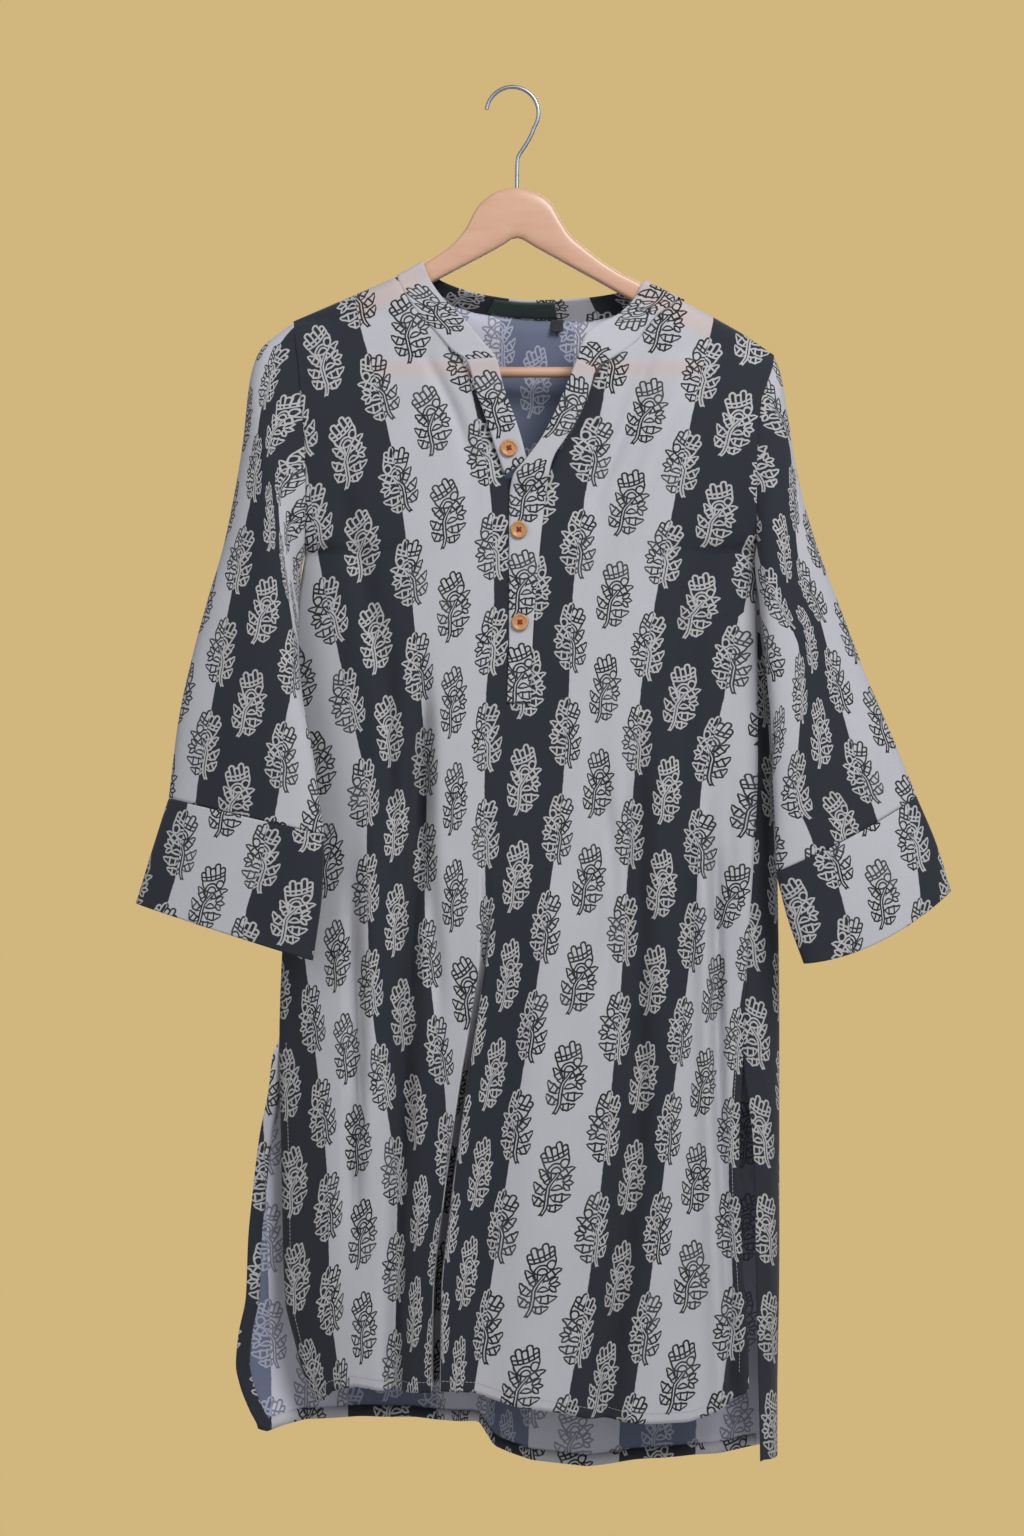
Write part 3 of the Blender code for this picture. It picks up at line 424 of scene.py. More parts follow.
def make_wire():
    middle_x, middle_z = HOOK_MIDDLE
    points = []
    for k in range(HOOK_STEPS + 1):
        a = math.radians(mix(HOOK_TURN[0], HOOK_TURN[1], k / HOOK_STEPS))
        points.append((middle_x + HOOK_R * math.cos(a), 0.0, middle_z + HOOK_R * math.sin(a)))
    last_x, _, last_z = points[-1]
    tail = [(last_z, last_x)] + [(z, x) for x, z in HOOK_TAIL]
    for k in range(1, TAIL_STEPS + 1):
        z = mix(last_z, HOOK_TAIL[-1][1], k / TAIL_STEPS)
        points.append((float(curve(tail, 1, z)), 0.0, z))
    return rod("hook_wire", points, WIRE_R, make_steel(), sides=24)


wire = make_wire()
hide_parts("hanger_hook")
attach(wire, "root")


# The front panel: soft printed cotton, cut to a flared shape, with a deep neck slit, a pleat
# that falls left of the middle, and turned hems. Stripe edges are placed at each height.
CLOTH = 0.0006
SEAM = 0.0004
ROLL = 0.0038
UNDERARM_Z = -0.4065
SLIT_Z = -0.8385
ARMHOLE_DEPTH = 0.021
STRIPE_U = (-0.199, -0.119, -0.040, 0.040, 0.120, 0.199, 0.279)
#       height   L2       L1       LC       RC      R1      R2      R3
STRIPE_X = (
    (-0.1500, -0.2250, -0.1440, -0.0600, 0.1010, 0.1840, 0.2640, 0.3440),
    (-0.2000, -0.2166, -0.1366, -0.0520, 0.0910, 0.1763, 0.2560, 0.3360),
    (-0.2792, -0.1955, -0.1151, -0.0355, 0.0778, 0.1583, 0.2383, 0.3183),
    (-0.3657, -0.1808, -0.0978, -0.0199, 0.0614, 0.1401, 0.2200, 0.3000),
    (-0.4522, -0.1635, -0.0883, -0.0173, 0.0510, 0.1237, 0.1989, 0.2740),
    (-0.5387, -0.1445, -0.0805, -0.0251, 0.0475, 0.1098, 0.1825, 0.2560),
    (-0.6252, -0.1280, -0.0761, -0.0260, 0.0415, 0.1038, 0.1617, 0.2387),
    (-0.7117, -0.1272, -0.0779, -0.0277, 0.0294, 0.0977, 0.1583, 0.2145),
    (-0.7982, -0.1237, -0.0744, -0.0320, 0.0173, 0.0925, 0.1487, 0.1937),
    (-0.8847, -0.1116, -0.0658, -0.0476, 0.0034, 0.0839, 0.1375, 0.1868),
    (-0.9712, -0.1012, -0.0588, -0.0545, -0.0095, 0.0744, 0.1271, 0.1877),
    (-1.0577, -0.1021, -0.0675, -0.0632, -0.0225, 0.0631, 0.1159, 0.1911),
    (-1.1442, -0.1047, -0.0701, -0.0658, -0.0364, 0.0475, 0.1029, 0.1799),
    (-1.2000, -0.1060, -0.0710, -0.0670, -0.0440, 0.0400, 0.0960, 0.1740),
)
#       height   left x   left u   right x  right u
FRONT_EDGE = (
    (-0.2000, -0.1945, -0.1750, 0.2320, 0.1790),
    (-0.2050, -0.1940, -0.1755, 0.2315, 0.1790),
    (-0.2332, -0.1905, -0.1810, 0.2290, 0.1790),
    (-0.2408, -0.1895, -0.1820, 0.2279, 0.1795),
    (-0.2635, -0.1875, -0.1870, 0.2203, 0.1770),
    (-0.2774, -0.1862, -0.1900, 0.2157, 0.1770),
    (-0.3383, -0.1819, -0.2000, 0.2114, 0.1870),
    (-0.4065, -0.1836, -0.2110, 0.2114, 0.1990),
    (-0.4500, -0.1900, -0.2220, 0.2120, 0.2080),
    (-0.4862, -0.1925, -0.2320, 0.2130, 0.2155),
    (-0.5906, -0.1960, -0.2600, 0.2130, 0.2345),
    (-0.6776, -0.2001, -0.2800, 0.2090, 0.2475),
    (-0.7515, -0.2036, -0.3040, 0.2040, 0.2750),
    (-0.8342, -0.2062, -0.3240, 0.2001, 0.2890),
    (-0.9299, -0.2045, -0.3320, 0.1960, 0.2910),
    (-0.9769, -0.2036, -0.3330, 0.1968, 0.2920),
    (-1.0604, -0.2010, -0.3340, 0.2012, 0.2940),
    (-1.0995, -0.1925, -0.3340, 0.2036, 0.2990),
    (-1.1378, -0.1810, -0.3340, 0.2044, 0.3030),
    (-1.1500, -0.1740, -0.3340, 0.2040, 0.3040),
)
# Neck and shoulder line of the front, across its top edge: x, z, y.
FRONT_TOP = (
    (-0.1962, -0.2055, 0.0000), (-0.1443, -0.1830, 0.0000), (-0.1030, -0.1652, 0.0000),
    (-0.1012, -0.1685, -0.0100), (-0.0946, -0.1841, -0.0130), (-0.0822, -0.2015, -0.0170),
    (-0.0681, -0.2169, -0.0210), (-0.0541, -0.2330, -0.0240), (-0.0430, -0.2420, -0.0260),
    (-0.0322, -0.2730, -0.0264), (-0.0253, -0.2909, -0.0266), (-0.0157, -0.3209, -0.0270),
    (-0.0078, -0.3450, -0.0275), (0.0100, -0.3450, -0.0280), (0.0290, -0.3450, -0.0280),
    (0.0443, -0.3140, -0.0280), (0.0555, -0.2988, -0.0276), (0.0660, -0.2737, -0.0272),
    (0.0740, -0.2500, -0.0268), (0.0889, -0.2383, -0.0240), (0.1066, -0.2254, -0.0190),
    (0.1234, -0.2028, -0.0140), (0.1386, -0.1906, -0.0090), (0.1443, -0.1840, 0.0000),
    (0.1760, -0.2012, 0.0000), (0.2015, -0.2156, 0.0000), (0.2320, -0.2365, 0.0000),
)
FRONT_HEM = (
    (-0.1750, -1.1530), (-0.1661, -1.1503), (-0.1583, -1.1410), (-0.1384, -1.1347),
    (-0.1047, -1.1390), (-0.0666, -1.1364), (-0.0346, -1.1373), (-0.0009, -1.1477),
    (0.0389, -1.1546), (0.0631, -1.1598), (0.1150, -1.1650), (0.1505, -1.1641),
    (0.1660, -1.1598), (0.1877, -1.1485), (0.2024, -1.1400), (0.2060, -1.1370),
)
#       height  middle y  left edge y  right edge y
FRONT_DEPTH = (
    (-0.1500, -0.0180, -0.0020, -0.0120),
    (-0.2792, -0.0255, -0.0020, -0.0120),
    (-0.3500, -0.0290, -0.0020, -0.0120),
    (-0.4522, -0.0345, -0.0020, -0.0140),
    (-0.6000, -0.0400, -0.0010, -0.0210),
    (-0.8000, -0.0440, -0.0030, -0.0270),
    (-1.0000, -0.0470, -0.0080, -0.0300),
    (-1.2000, -0.0490, -0.0120, -0.0310),
)
# The deep pleat left of the middle: height, line x, flat middle, flat half width, half gap.
SLOT = (
    (-0.5400, -0.0150, -0.0450, 0.0030, 0.0020),
    (-0.6252, -0.0125, -0.0400, 0.0040, 0.0020),
    (-0.7117, -0.0190, -0.0380, 0.0090, 0.0022),
    (-0.7982, -0.0321, -0.0580, 0.0185, 0.0028),
    (-0.8847, -0.0458, -0.0685, 0.0325, 0.0034),
    (-0.9712, -0.0577, -0.0800, 0.0385, 0.0036),
    (-1.0577, -0.0667, -0.0805, 0.0395, 0.0038),
    (-1.2000, -0.0684, -0.0805, 0.0395, 0.0040),
)
SLOT_DRAW = 0.030
SLOT_DEEP = 0.93
SLOT_LIP = 0.0060
# Soft folds of the front: height and x of top, middle and end, width, push out.
FRONT_FOLDS = (
    (-0.5600, -0.0780, -0.8400, -0.0930, -1.1500, -0.1040, 0.0078, -0.0180),
    (-0.5300, -0.0800, -0.6800, -0.0750, -0.8000, -0.0660, 0.0080, -0.0081),
    (-0.5200, -0.1090, -0.5800, -0.1095, -0.6400, -0.1060, 0.0070, -0.0068),
    (-0.7300, -0.1410, -0.8400, -0.1366, -0.9900, -0.1400, 0.0052, -0.0135),
    (-0.6400, -0.1250, -0.8400, -0.1230, -0.9600, -0.1300, 0.0110, 0.0081),
    (-0.6000, 0.1080, -0.8500, 0.1080, -1.1500, 0.0800, 0.0100, -0.0128),
    (-0.6600, 0.1640, -0.8600, 0.1680, -1.1500, 0.1810, 0.0090, 0.0081),
    (-0.6600, 0.1757, -0.8600, 0.1785, -1.1500, 0.1925, 0.0055, -0.0149),
    (-0.6000, 0.0750, -0.7000, 0.0850, -0.7900, 0.0800, 0.0090, -0.0068),
    (-0.6000, 0.1850, -0.7200, 0.1880, -0.8000, 0.1900, 0.0100, -0.0068),
    (-0.7000, 0.0300, -0.9000, 0.0180, -1.1500, 0.0050, 0.0240, 0.0068),
    (-0.2400, -0.0760, -0.2800, -0.0560, -0.3300, -0.0380, 0.0060, -0.0054),
    (-0.2300, 0.1200, -0.2900, 0.1000, -0.3600, 0.0720, 0.0075, -0.0061),
    (-0.2500, 0.1500, -0.3300, 0.1200, -0.4200, 0.0900, 0.0110, 0.0047),
    (-0.3600, -0.1500, -0.4400, -0.1300, -0.5200, -0.1150, 0.0110, -0.0054),
    (-0.4000, 0.1750, -0.4900, 0.1550, -0.5900, 0.1450, 0.0120, -0.0061),
)
FOLD_END = 0.12
OPEN_END = -1.1
CROWN_POWER = 3.5
# Columns of the weave in each stretch across the front, and flat places between stretches.
FRONT_STRETCHES = (26, 24, 9, 3, 9, 14, 32, 30)
FRONT_MARKS = (-0.135, 0.030, 0.150)
FRONT_ROWS = 236
# Shares of the way down where the cloth rolls over at its top edge.
ROLL_SHARES = (0.0, 0.0015, 0.003, 0.006, 0.009, 0.014)


def ease(f):
    f = np.clip(f, 0.0, 1.0)
    return f * f * (3.0 - 2.0 * f)


def fold_push(folds, x, z):
    """How far soft folds push the cloth out; a fold that ends below OPEN_END runs off the hem."""
    total = np.zeros_like(np.asarray(x, float) + np.asarray(z, float))
    for top, x_top, mid, x_mid, end, x_end, width, depth in folds:
        middle = curve(((top, x_top), (mid, x_mid), (end, x_end)), 1, z)
        ends = ease((top - z) / FOLD_END + 0.5)
        if end > OPEN_END:
            ends = ends * ease((z - end) / FOLD_END + 0.5)
        total = total + depth * ends * np.exp(-(((x - middle) / width) ** 2))
    return total


def lens(w):
    """A rounded rise and fall over a share from 0 to 1."""
    return (2.0 * np.sqrt(np.maximum(0.0, w * (1.0 - w)))) ** 0.8


def slot_shape(z):
    """The pleat at a height: middle, half width and half width of its floor, all flat, and
    how far it has opened."""
    mid, half = curve(SLOT, 2, z), curve(SLOT, 3, z)
    return mid, half, np.minimum(0.003, 0.35 * half), ease((half - 0.004) / 0.012)


def front_x(u, z):
    """Place across the front of each flat place of the cloth at its height."""
    u, z = np.broadcast_arrays(np.asarray(u, float), np.asarray(z, float))
    left_u, right_u = curve(FRONT_EDGE, 2, z), curve(FRONT_EDGE, 4, z)
    knots = [(left_u, curve(FRONT_EDGE, 1, z))]
    for k, place in enumerate(STRIPE_U):
        inside = (place > left_u + 0.012) & (place < right_u - 0.012)
        knots.append((np.where(inside, place, np.nan), curve(STRIPE_X, k + 1, z)))
    knots.append((right_u, curve(FRONT_EDGE, 3, z)))

    def plain(at):
        result = np.full(z.shape, np.nan)
        last_u, last_x = knots[0]
        result = np.where(at <= last_u, last_x, result)
        for next_u, next_x in knots[1:]:
            real = ~np.isnan(next_u)
            here = real & (at > last_u) & (at <= next_u)
            share = (at - last_u) / np.where(real, next_u - last_u, 1.0)
            result = np.where(here, mix(last_x, next_x, share), result)
            last_u, last_x = np.where(real, next_u, last_u), np.where(real, next_x, last_x)
        return np.where(np.isnan(result), last_x, result)

    line, gap = curve(SLOT, 1, z), curve(SLOT, 4, z)
    mid, half, floor_half, opened = slot_shape(z)
    low, high = mid - half, mid + half
    flat = plain(u)
    before = flat + (line - gap - plain(low)) * np.exp(-np.abs(low - u) / SLOT_DRAW)
    after = flat + (line + gap - plain(high)) * np.exp(-np.abs(u - high) / SLOT_DRAW)
    far = np.clip((np.abs(u - mid) - floor_half) / (half - floor_half), 0.0, 1.0)
    near = np.clip(np.abs(u - mid) / floor_half, 0.0, 1.0)
    wall = np.where(np.abs(u - mid) < floor_half, 0.6 * near, mix(0.6, 1.0, far))
    within = line + np.sign(u - mid) * gap * wall
    tuck = np.where(u <= low, before, np.where(u >= high, after, within))
    return mix(flat, tuck, opened)


def slot_depth(u, z):
    """How deep the pleat lies under the front, and how far its left lip stands out."""
    mid, half, floor_half, opened = slot_shape(z)
    deep = SLOT_DEEP * (half - floor_half) * opened
    inside = 1.0 - np.clip((np.abs(u - mid) - floor_half) / (half - floor_half), 0.0, 1.0)
    lip = SLOT_LIP * opened * np.exp(-np.maximum(0.0, mid - half - u) / 0.022)
    return deep * inside - lip * np.where(u < mid, 1.0, 0.0) * (1.0 - inside)


def armhole(z, side):
    """Edge depth round an armhole: where its middle lies, and how far it bows."""
    top = -0.2050 if side < 0 else -0.2350
    low = -0.0020 if side < 0 else -0.0120
    w = np.clip((top - z) / (top - UNDERARM_Z), 0.0, 1.0)
    return low * w, ARMHOLE_DEPTH * lens(w)


def front_y(x, z, u):
    """Depth of the front panel away from its top edge."""
    left_x, right_x = curve(FRONT_EDGE, 1, z), curve(FRONT_EDGE, 3, z)
    w = np.clip((x - left_x) / (right_x - left_x), 0.0, 1.0)
    left_low, left_arc = armhole(z, -1)
    right_low, right_arc = armhole(z, 1)
    above = z > UNDERARM_Z
    left_y = np.where(above, left_low - left_arc, curve(FRONT_DEPTH, 2, z))
    right_y = np.where(above, right_low - right_arc, curve(FRONT_DEPTH, 3, z))
    edge = mix(left_y, right_y, w) - SEAM
    crown = 1.0 - np.abs(2.0 * w - 1.0) ** CROWN_POWER
    body = mix(edge, np.minimum(edge, curve(FRONT_DEPTH, 1, z)), crown)
    near = ease(np.minimum(w, 1.0 - w) / 0.06)
    return body - fold_push(FRONT_FOLDS, x, z) * near + slot_depth(u, z)


def front_u(stretch, value, z):
    """Flat place of columns of the front, which crowd together at the pleat."""
    mid, half, floor_half, _ = slot_shape(z)
    left, right = curve(FRONT_EDGE, 2, z), curve(FRONT_EDGE, 4, z)
    first, second, third = (np.full_like(mid, mark) for mark in FRONT_MARKS)
    knots = np.stack([
        left, first, mid - half, mid - floor_half, mid + floor_half, mid + half,
        second, third, right,
    ])
    which = np.broadcast_to(stretch, mid.shape)[np.newaxis]
    low = np.take_along_axis(knots, which, axis=0)[0]
    high = np.take_along_axis(knots, which + 1, axis=0)[0]
    return mix(low, high, value)


def end_height(stretch, value, line, start):
    """Height where each column of the front meets an edge line."""
    z = np.full(value.shape, start)
    for _ in range(80):
        x = front_x(front_u(stretch, value, z), z)
        z = mix(z, np.interp(x, column_of(line, 0), column_of(line, 1)), 0.5)
    return z


# Height of each row of sprigs on the front, for columns of the print across it, and the
# height of one more row below the last.
PRINT_U = (-0.318, -0.2385, -0.159, -0.0795, 0.0, 0.0795, 0.159, 0.2385, 0.318)
PRINT_ROWS = (
    (0, -0.3950, -0.3580, -0.3225, -0.2948, -0.2775, -0.2879, -0.2983, -0.3120, -0.3330),
    (2, -0.5560, -0.5200, -0.4842, -0.4574, -0.4418, -0.4479, -0.4565, -0.4712, -0.4930),
    (3, -0.6380, -0.5941, -0.5655, -0.5404, -0.5248, -0.5292, -0.5369, -0.5508, -0.5730),
    (5, -0.7912, -0.7618, -0.7290, -0.7082, -0.6918, -0.6944, -0.6987, -0.7108, -0.7290),
    (7, -0.9616, -0.9209, -0.8950, -0.8759, -0.8630, -0.8656, -0.8664, -0.8699, -0.8790),
    (9, -1.1293, -1.0817, -1.0700, -1.0446, -1.0342, -1.0403, -1.0411, -1.0385, -1.0385),
)


LOW_PITCH = 0.0870


def flat_of(u, z):
    """Place along the grain of the front, in sprigs' pitches, from the rows above."""
    heights = [between(PRINT_U, row[1:], u) for row in PRINT_ROWS]
    counts = column_of(PRINT_ROWS, 0)
    first = (heights[0] - z) / SPRIG_PITCH + counts[0]
    last = (heights[-1] - z) / LOW_PITCH + counts[-1]
    rows = np.where(z > heights[0], first, last)
    for k in range(len(counts) - 1):
        share = (heights[k] - z) / (heights[k] - heights[k + 1])
        here = (share >= 0.0) & (share < 1.0)
        rows = np.where(here, mix(counts[k], counts[k + 1], share), rows)
    return (0.5 - rows) * SPRIG_PITCH


def row_shares(count):
    """Shares of the way down a panel for its rows, close together where it rolls over."""
    return np.concatenate([ROLL_SHARES, np.linspace(0.020, 1.0, count)])


def cloth(name, grid, flat, materials, flip=False, wall=CLOTH):
    """A sheet of cloth from a grid of points on its outer face and their flat places."""
    rows, cols = grid.shape[:2]
    obj = new_mesh(name, grid.reshape(-1, 3), strip_faces(rows, cols, False, flip), materials)
    layer = obj.data.uv_layers.new(name="Weave")
    index = np.zeros(len(obj.data.loops), int)
    obj.data.loops.foreach_get("vertex_index", index)
    layer.data.foreach_set("uv", flat.reshape(-1, 2)[index].astype(np.float32).ravel())
    thick = obj.modifiers.new("thickness", "SOLIDIFY")
    thick.thickness = wall
    thick.offset = -1.0
    thick.material_offset = len(materials) - 1
    thick.material_offset_rim = 0
    return obj


# The print: hand blocked in dark ink on pale ground, and left pale on the dark stripes.
# Sizes are in millimetres from the middle of a sprig. Every other column is mirrored.
STRIPE = 0.0795
SPRIG_PITCH = 0.0815
LINE = 0.80
LINE_SOFT = 0.11
YARN = 0.62
#    base x  base y   tip x   tip y  half   bend   barred
LEAVES = (
    (-3.4, -4.5, -12.6, 8.6, 3.0, -1.2, True),
    (-2.8, 0.0, -6.4, 9.6, 1.7, 0.6, False),
    (-3.8, -12.0, -17.0, -3.4, 3.1, 2.2, True),
    (-4.6, -20.8, -16.6, -14.0, 3.1, 2.2, True),
    (2.0, 0.0, 15.8, 10.6, 2.9, 1.6, True),
    (-1.2, -7.6, 8.2, -6.4, 1.9, 1.2, False),
    (7.6, -2.0, 14.2, 3.0, 1.9, 0.0, False),
    (8.8, -3.0, 16.8, -2.6, 1.9, 0.0, False),
    (8.4, -4.2, 14.2, -8.6, 1.8, 0.0, False),
    (-2.2, -14.6, 15.6, -14.0, 3.2, -2.0, True),
    (-4.2, -22.8, 9.8, -22.4, 2.8, -1.8, True),
)
HEAD_AT = (4.0, 5.5)
HEAD_LEAN = math.radians(21.0)
HEAD_SIZE = 1.12
FINGER = 4.0


def plane(x, a, y, b, c):
    """a x + b y + c."""
    return x.math("MULTIPLY_ADD", y, b, x.math("MULTIPLY_ADD", x, a, c))


def leaf_lines(x, y, base_x, base_y, tip_x, tip_y, half, bend, barred):
    """Distance to the drawn lines of one leaf."""
    length = math.hypot(tip_x - base_x, tip_y - base_y)
    c, s = (tip_x - base_x) / length, (tip_y - base_y) / length
    k = 2.0 / length
    t = plane(x, c * k, y, s * k, -(base_x * c + base_y * s) * k - 1.0)
    across = plane(x, -s, y, c, base_x * s - base_y * c - bend * 0.4)
    tt = t * t
    rim = abs(x.math("MULTIPLY_ADD", tt, bend, across)) - x.math("MULTIPLY_ADD", tt, -half, half)
    if not barred:
        return abs(rim)
    rim = rim - x.math("SINE", t * 9.0) * 0.28
    bars = abs(abs(t + 0.1) - 0.32) * (0.5 * length)
    return abs(rim).least(bars.most(rim))


def finger_rim(q, fan, finger):
    """How far a place is outside one rounded finger of the flower head."""
    finger = finger.most(-2.0).least(2.0)
    side = fan - finger * FINGER
    tall = q.math("COSINE", finger * math.pi) * -1.4 - finger * finger * 0.3 + 18.6
    over = (q - tall).most(0.0)
    return q.math("SQRT", side * side + over * over) - 0.5 * FINGER


def head_lines(x, y):
    """Distance to the lines of the flower head, and how far a place is outside it."""
    c, s = math.cos(HEAD_LEAN) / HEAD_SIZE, math.sin(HEAD_LEAN) / HEAD_SIZE
    p = plane(x, c, y, s, -HEAD_AT[0] * c - HEAD_AT[1] * s)
    q = plane(x, -s, y, c, HEAD_AT[0] * s - HEAD_AT[1] * c)
    pp = p * p
    bowed = q - pp * 0.018
    fan = p / (bowed * 0.010 + 0.88)
    finger = x.math("FLOOR", fan * (1.0 / FINGER) + 0.5)
    beside = x.math("FLOOR", fan * (1.0 / FINGER)) * 2.0 - finger + 1.0
    cap, other = finger_rim(q, fan, finger), finger_rim(q, fan, beside)
    fingers = abs(cap).least(abs(other)).most(10.0 - bowed)
    cap = cap.least(other)
    bars = abs(abs(bowed - 11.4) - 1.5).most(cap)
    bowl_q = (q - 9.4).least(0.0) * 1.043
    bowl = x.math("SQRT", pp + bowl_q * bowl_q) - 9.6
    ring_p, ring_q = p - 5.4, q - 5.2
    ring = x.math("SQRT", ring_p * ring_p + ring_q * ring_q) - 3.1
    arc_p, arc_q = p + 2.4, q - 1.2
    arc = x.math("SQRT", arc_p * arc_p + arc_q * arc_q)
    arcs = abs(abs(arc - 5.0) - 1.3).most(0.5 - ring)
    inner = abs(ring).least(arcs).most(bowl).most(bowed - 9.0)
    lines = fingers.least(bars).least(abs(bowl).most(bowed - 9.6)).least(inner)
    outside = bowl.most(bowed - 10.0).least(cap.most(9.0 - bowed))
    return lines * HEAD_SIZE, outside * HEAD_SIZE


def sprig_lines(x, y):
    """Distance to the drawn lines of one sprig: a stem, leaves and buds, and a flower head."""
    rise = ((y + 8.0) * 0.0625).step(0.0, 1.0)
    rise = rise * rise * (3.0 - rise * 2.0)
    fall = (-19.0 - y).most(0.0)
    stem_x = rise * 7.8 - 3.9 - fall * fall * 0.034
    from_stem = abs(x - stem_x)
    foot = abs(y + 28.2 + (x - stem_x) * 0.4).most(from_stem - 1.3)
    stem = abs(from_stem - 1.25).most(y - 6.5).most(-28.4 - y).least(foot)
    lines = None
    for row in LEAVES:
        one = leaf_lines(x, y, *row)
        lines = one if lines is None else lines.least(one)
    lines = lines.most(1.9 - from_stem - (y - 5.0).most(0.0) * 10.0).least(stem)
    head, outside = head_lines(x, y)
    return lines.most(0.9 - outside).least(head)


def print_masks(start):
    """Where the ink lies and which stripe a place is on, from the cloth's flat places."""
    where = start.node("ShaderNodeUVMap", uv_map="Weave")
    values = {"Vector": where, "Scale": 190.0, "Detail": 1.0}
    wobble = start.node("ShaderNodeTexNoise", values, pick=1)
    shaken = wobble.vector("MULTIPLY_ADD", (0.0011, 0.0011, 0.0), (-0.00055, -0.00055, 0.0))
    place = where.vector("ADD", shaken).vector("SCALE", scale=1000.0)
    split = start.node("ShaderNodeSeparateXYZ", {0: place})
    u, v = split, split.other("Y")
    half = 500.0 * STRIPE
    pitch = 1000.0 * SPRIG_PITCH
    column = u.math("FLOOR", u * (1.0 / half) + 0.5)
    odd = u.math("FLOORED_MODULO", column, 2.0)
    x = (u - column * half) * (1.0 - odd * 2.0)
    row = v * (1.0 / pitch) + odd * 0.5
    y = (row - row.math("FLOOR", row) - 0.5) * pitch
    dark = u.math("COSINE", u * (math.pi / (2.0 * half))).step(-0.012, 0.012)
    ink = 1.0 - sprig_lines(x, y).step(LINE - LINE_SOFT, LINE + LINE_SOFT)
    return where, ink, dark


def painted_wood_show_through(start):
    """Where the hanger lies close under the cloth: mask of the painted warm show-through of the
    wood.
    """
    place = start.node("ShaderNodeTexCoord", pick=3)
    split = start.node("ShaderNodeSeparateXYZ", {0: place})
    out = abs(split - 0.003)
    z = split.other("Z")
    arm = 1.0 - abs(z + out * 0.585 + 0.1147).step(0.005, 0.016)
    rail = 1.0 - abs(z - BAR_Z).step(0.003, 0.010)
    return (arm * out.step(0.06, 0.09)).most(rail * 0.8) * (1.0 - out.step(0.185, 0.205))


def make_print(name, light, dark, ink_on_light, ink_on_dark, depth):
    """Plain woven cotton with the print on it: two grounds, two inks, how deep they are."""
    material, start, shader = finish_of(name)
    where, ink, on_dark = print_masks(start)
    threads = start.node("ShaderNodeSeparateXYZ", {0: where.vector("SCALE", scale=1000.0)})
    warp = start.math("SINE", threads * (2.0 * math.pi / YARN))
    weft = start.math("SINE", threads.other("Y") * (2.0 * math.pi / YARN))
    weave = warp * weft
    slub = start.node("ShaderNodeMapping", {"Vector": where, "Scale": (2600.0, 90.0, 1.0)})
    slubs = start.node("ShaderNodeTexNoise", {"Vector": slub, "Scale": 1.0, "Detail": 2.0})
    cloud = start.node("ShaderNodeTexNoise", {"Vector": where, "Scale": 26.0, "Detail": 3.0})
    shade = slubs.step(0.25, 0.75) * 0.10 + cloud.step(0.3, 0.7) * 0.08
    pale = shade.blend(light, tuple(0.55 * c for c in light[:3]) + (1.0,))
    # Painted show-through: the pale ground is tinted warm where light off the wood behind would
    # shine through the cloth.
    pale = (painted_wood_show_through(start) * 0.42).blend(pale, (0.66, 0.44, 0.36, 1.0))
    deep = shade.blend(dark, tuple(1.6 * c for c in dark[:3]) + (1.0,))
    ground = on_dark.blend(pale, deep)
    inked = on_dark.blend(ink_on_light, ink_on_dark)
    worn = ink * (depth - cloud.step(0.45, 0.75) * 0.14)
    relief = {"Height": weave + slubs * 0.8, "Strength": 0.16, "Distance": 0.0003}
    height = start.node("ShaderNodeBump", relief)
    feed(shader, Base_Color=worn.blend(ground, inked), Normal=height, Roughness=0.86)
    feed(shader, Sheen_Weight=0.12, Sheen_Roughness=0.5, Specular_IOR_Level=0.28)
    return material


printed = make_print(
    "block_printed_cotton",
    (0.545, 0.550, 0.600, 1.0), (0.0225, 0.0265, 0.0370, 1.0),
    (0.020, 0.022, 0.020, 1.0), (0.500, 0.495, 0.505, 1.0), 1.0,
)
# Inner faces: the print's faded reverse, painted lighter still to stand in for light on the shaded
# inside.
faded_with_painted_light = make_print(
    "block_printed_cotton_inside",
    (0.620, 0.625, 0.735, 1.0), (0.138, 0.162, 0.242, 1.0),
    (0.170, 0.185, 0.235, 1.0), (0.460, 0.485, 0.590, 1.0), 0.85,
)


def make_front():
    stretch = np.concatenate([np.full(count, k) for k, count in enumerate(FRONT_STRETCHES)] + [[7]])
    value = np.concatenate([np.arange(count) / count for count in FRONT_STRETCHES] + [[1.0]])
    top = end_height(stretch, value, FRONT_TOP, -0.24)
    hem = end_height(stretch, value, FRONT_HEM, -1.14)
    start = front_x(front_u(stretch, value, top), top)
    z = mix(top, hem, row_shares(FRONT_ROWS)[:, np.newaxis])
    u = front_u(stretch, value, z)
    x = front_x(u, z)
    y_top = np.interp(start, column_of(FRONT_TOP, 0), column_of(FRONT_TOP, 2)) - SEAM
    y = mix(y_top, front_y(x, z, u), 1.0 - np.exp(-(top - z) / ROLL))
    grid = np.stack([x, y, z], axis=-1)
    flat = np.stack([u, flat_of(u, z)], axis=-1)
    return cloth("front_cloth", grid, flat, [printed, faded_with_painted_light], flip=True)


front = make_front()
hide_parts("front_panel")
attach(front, "root")


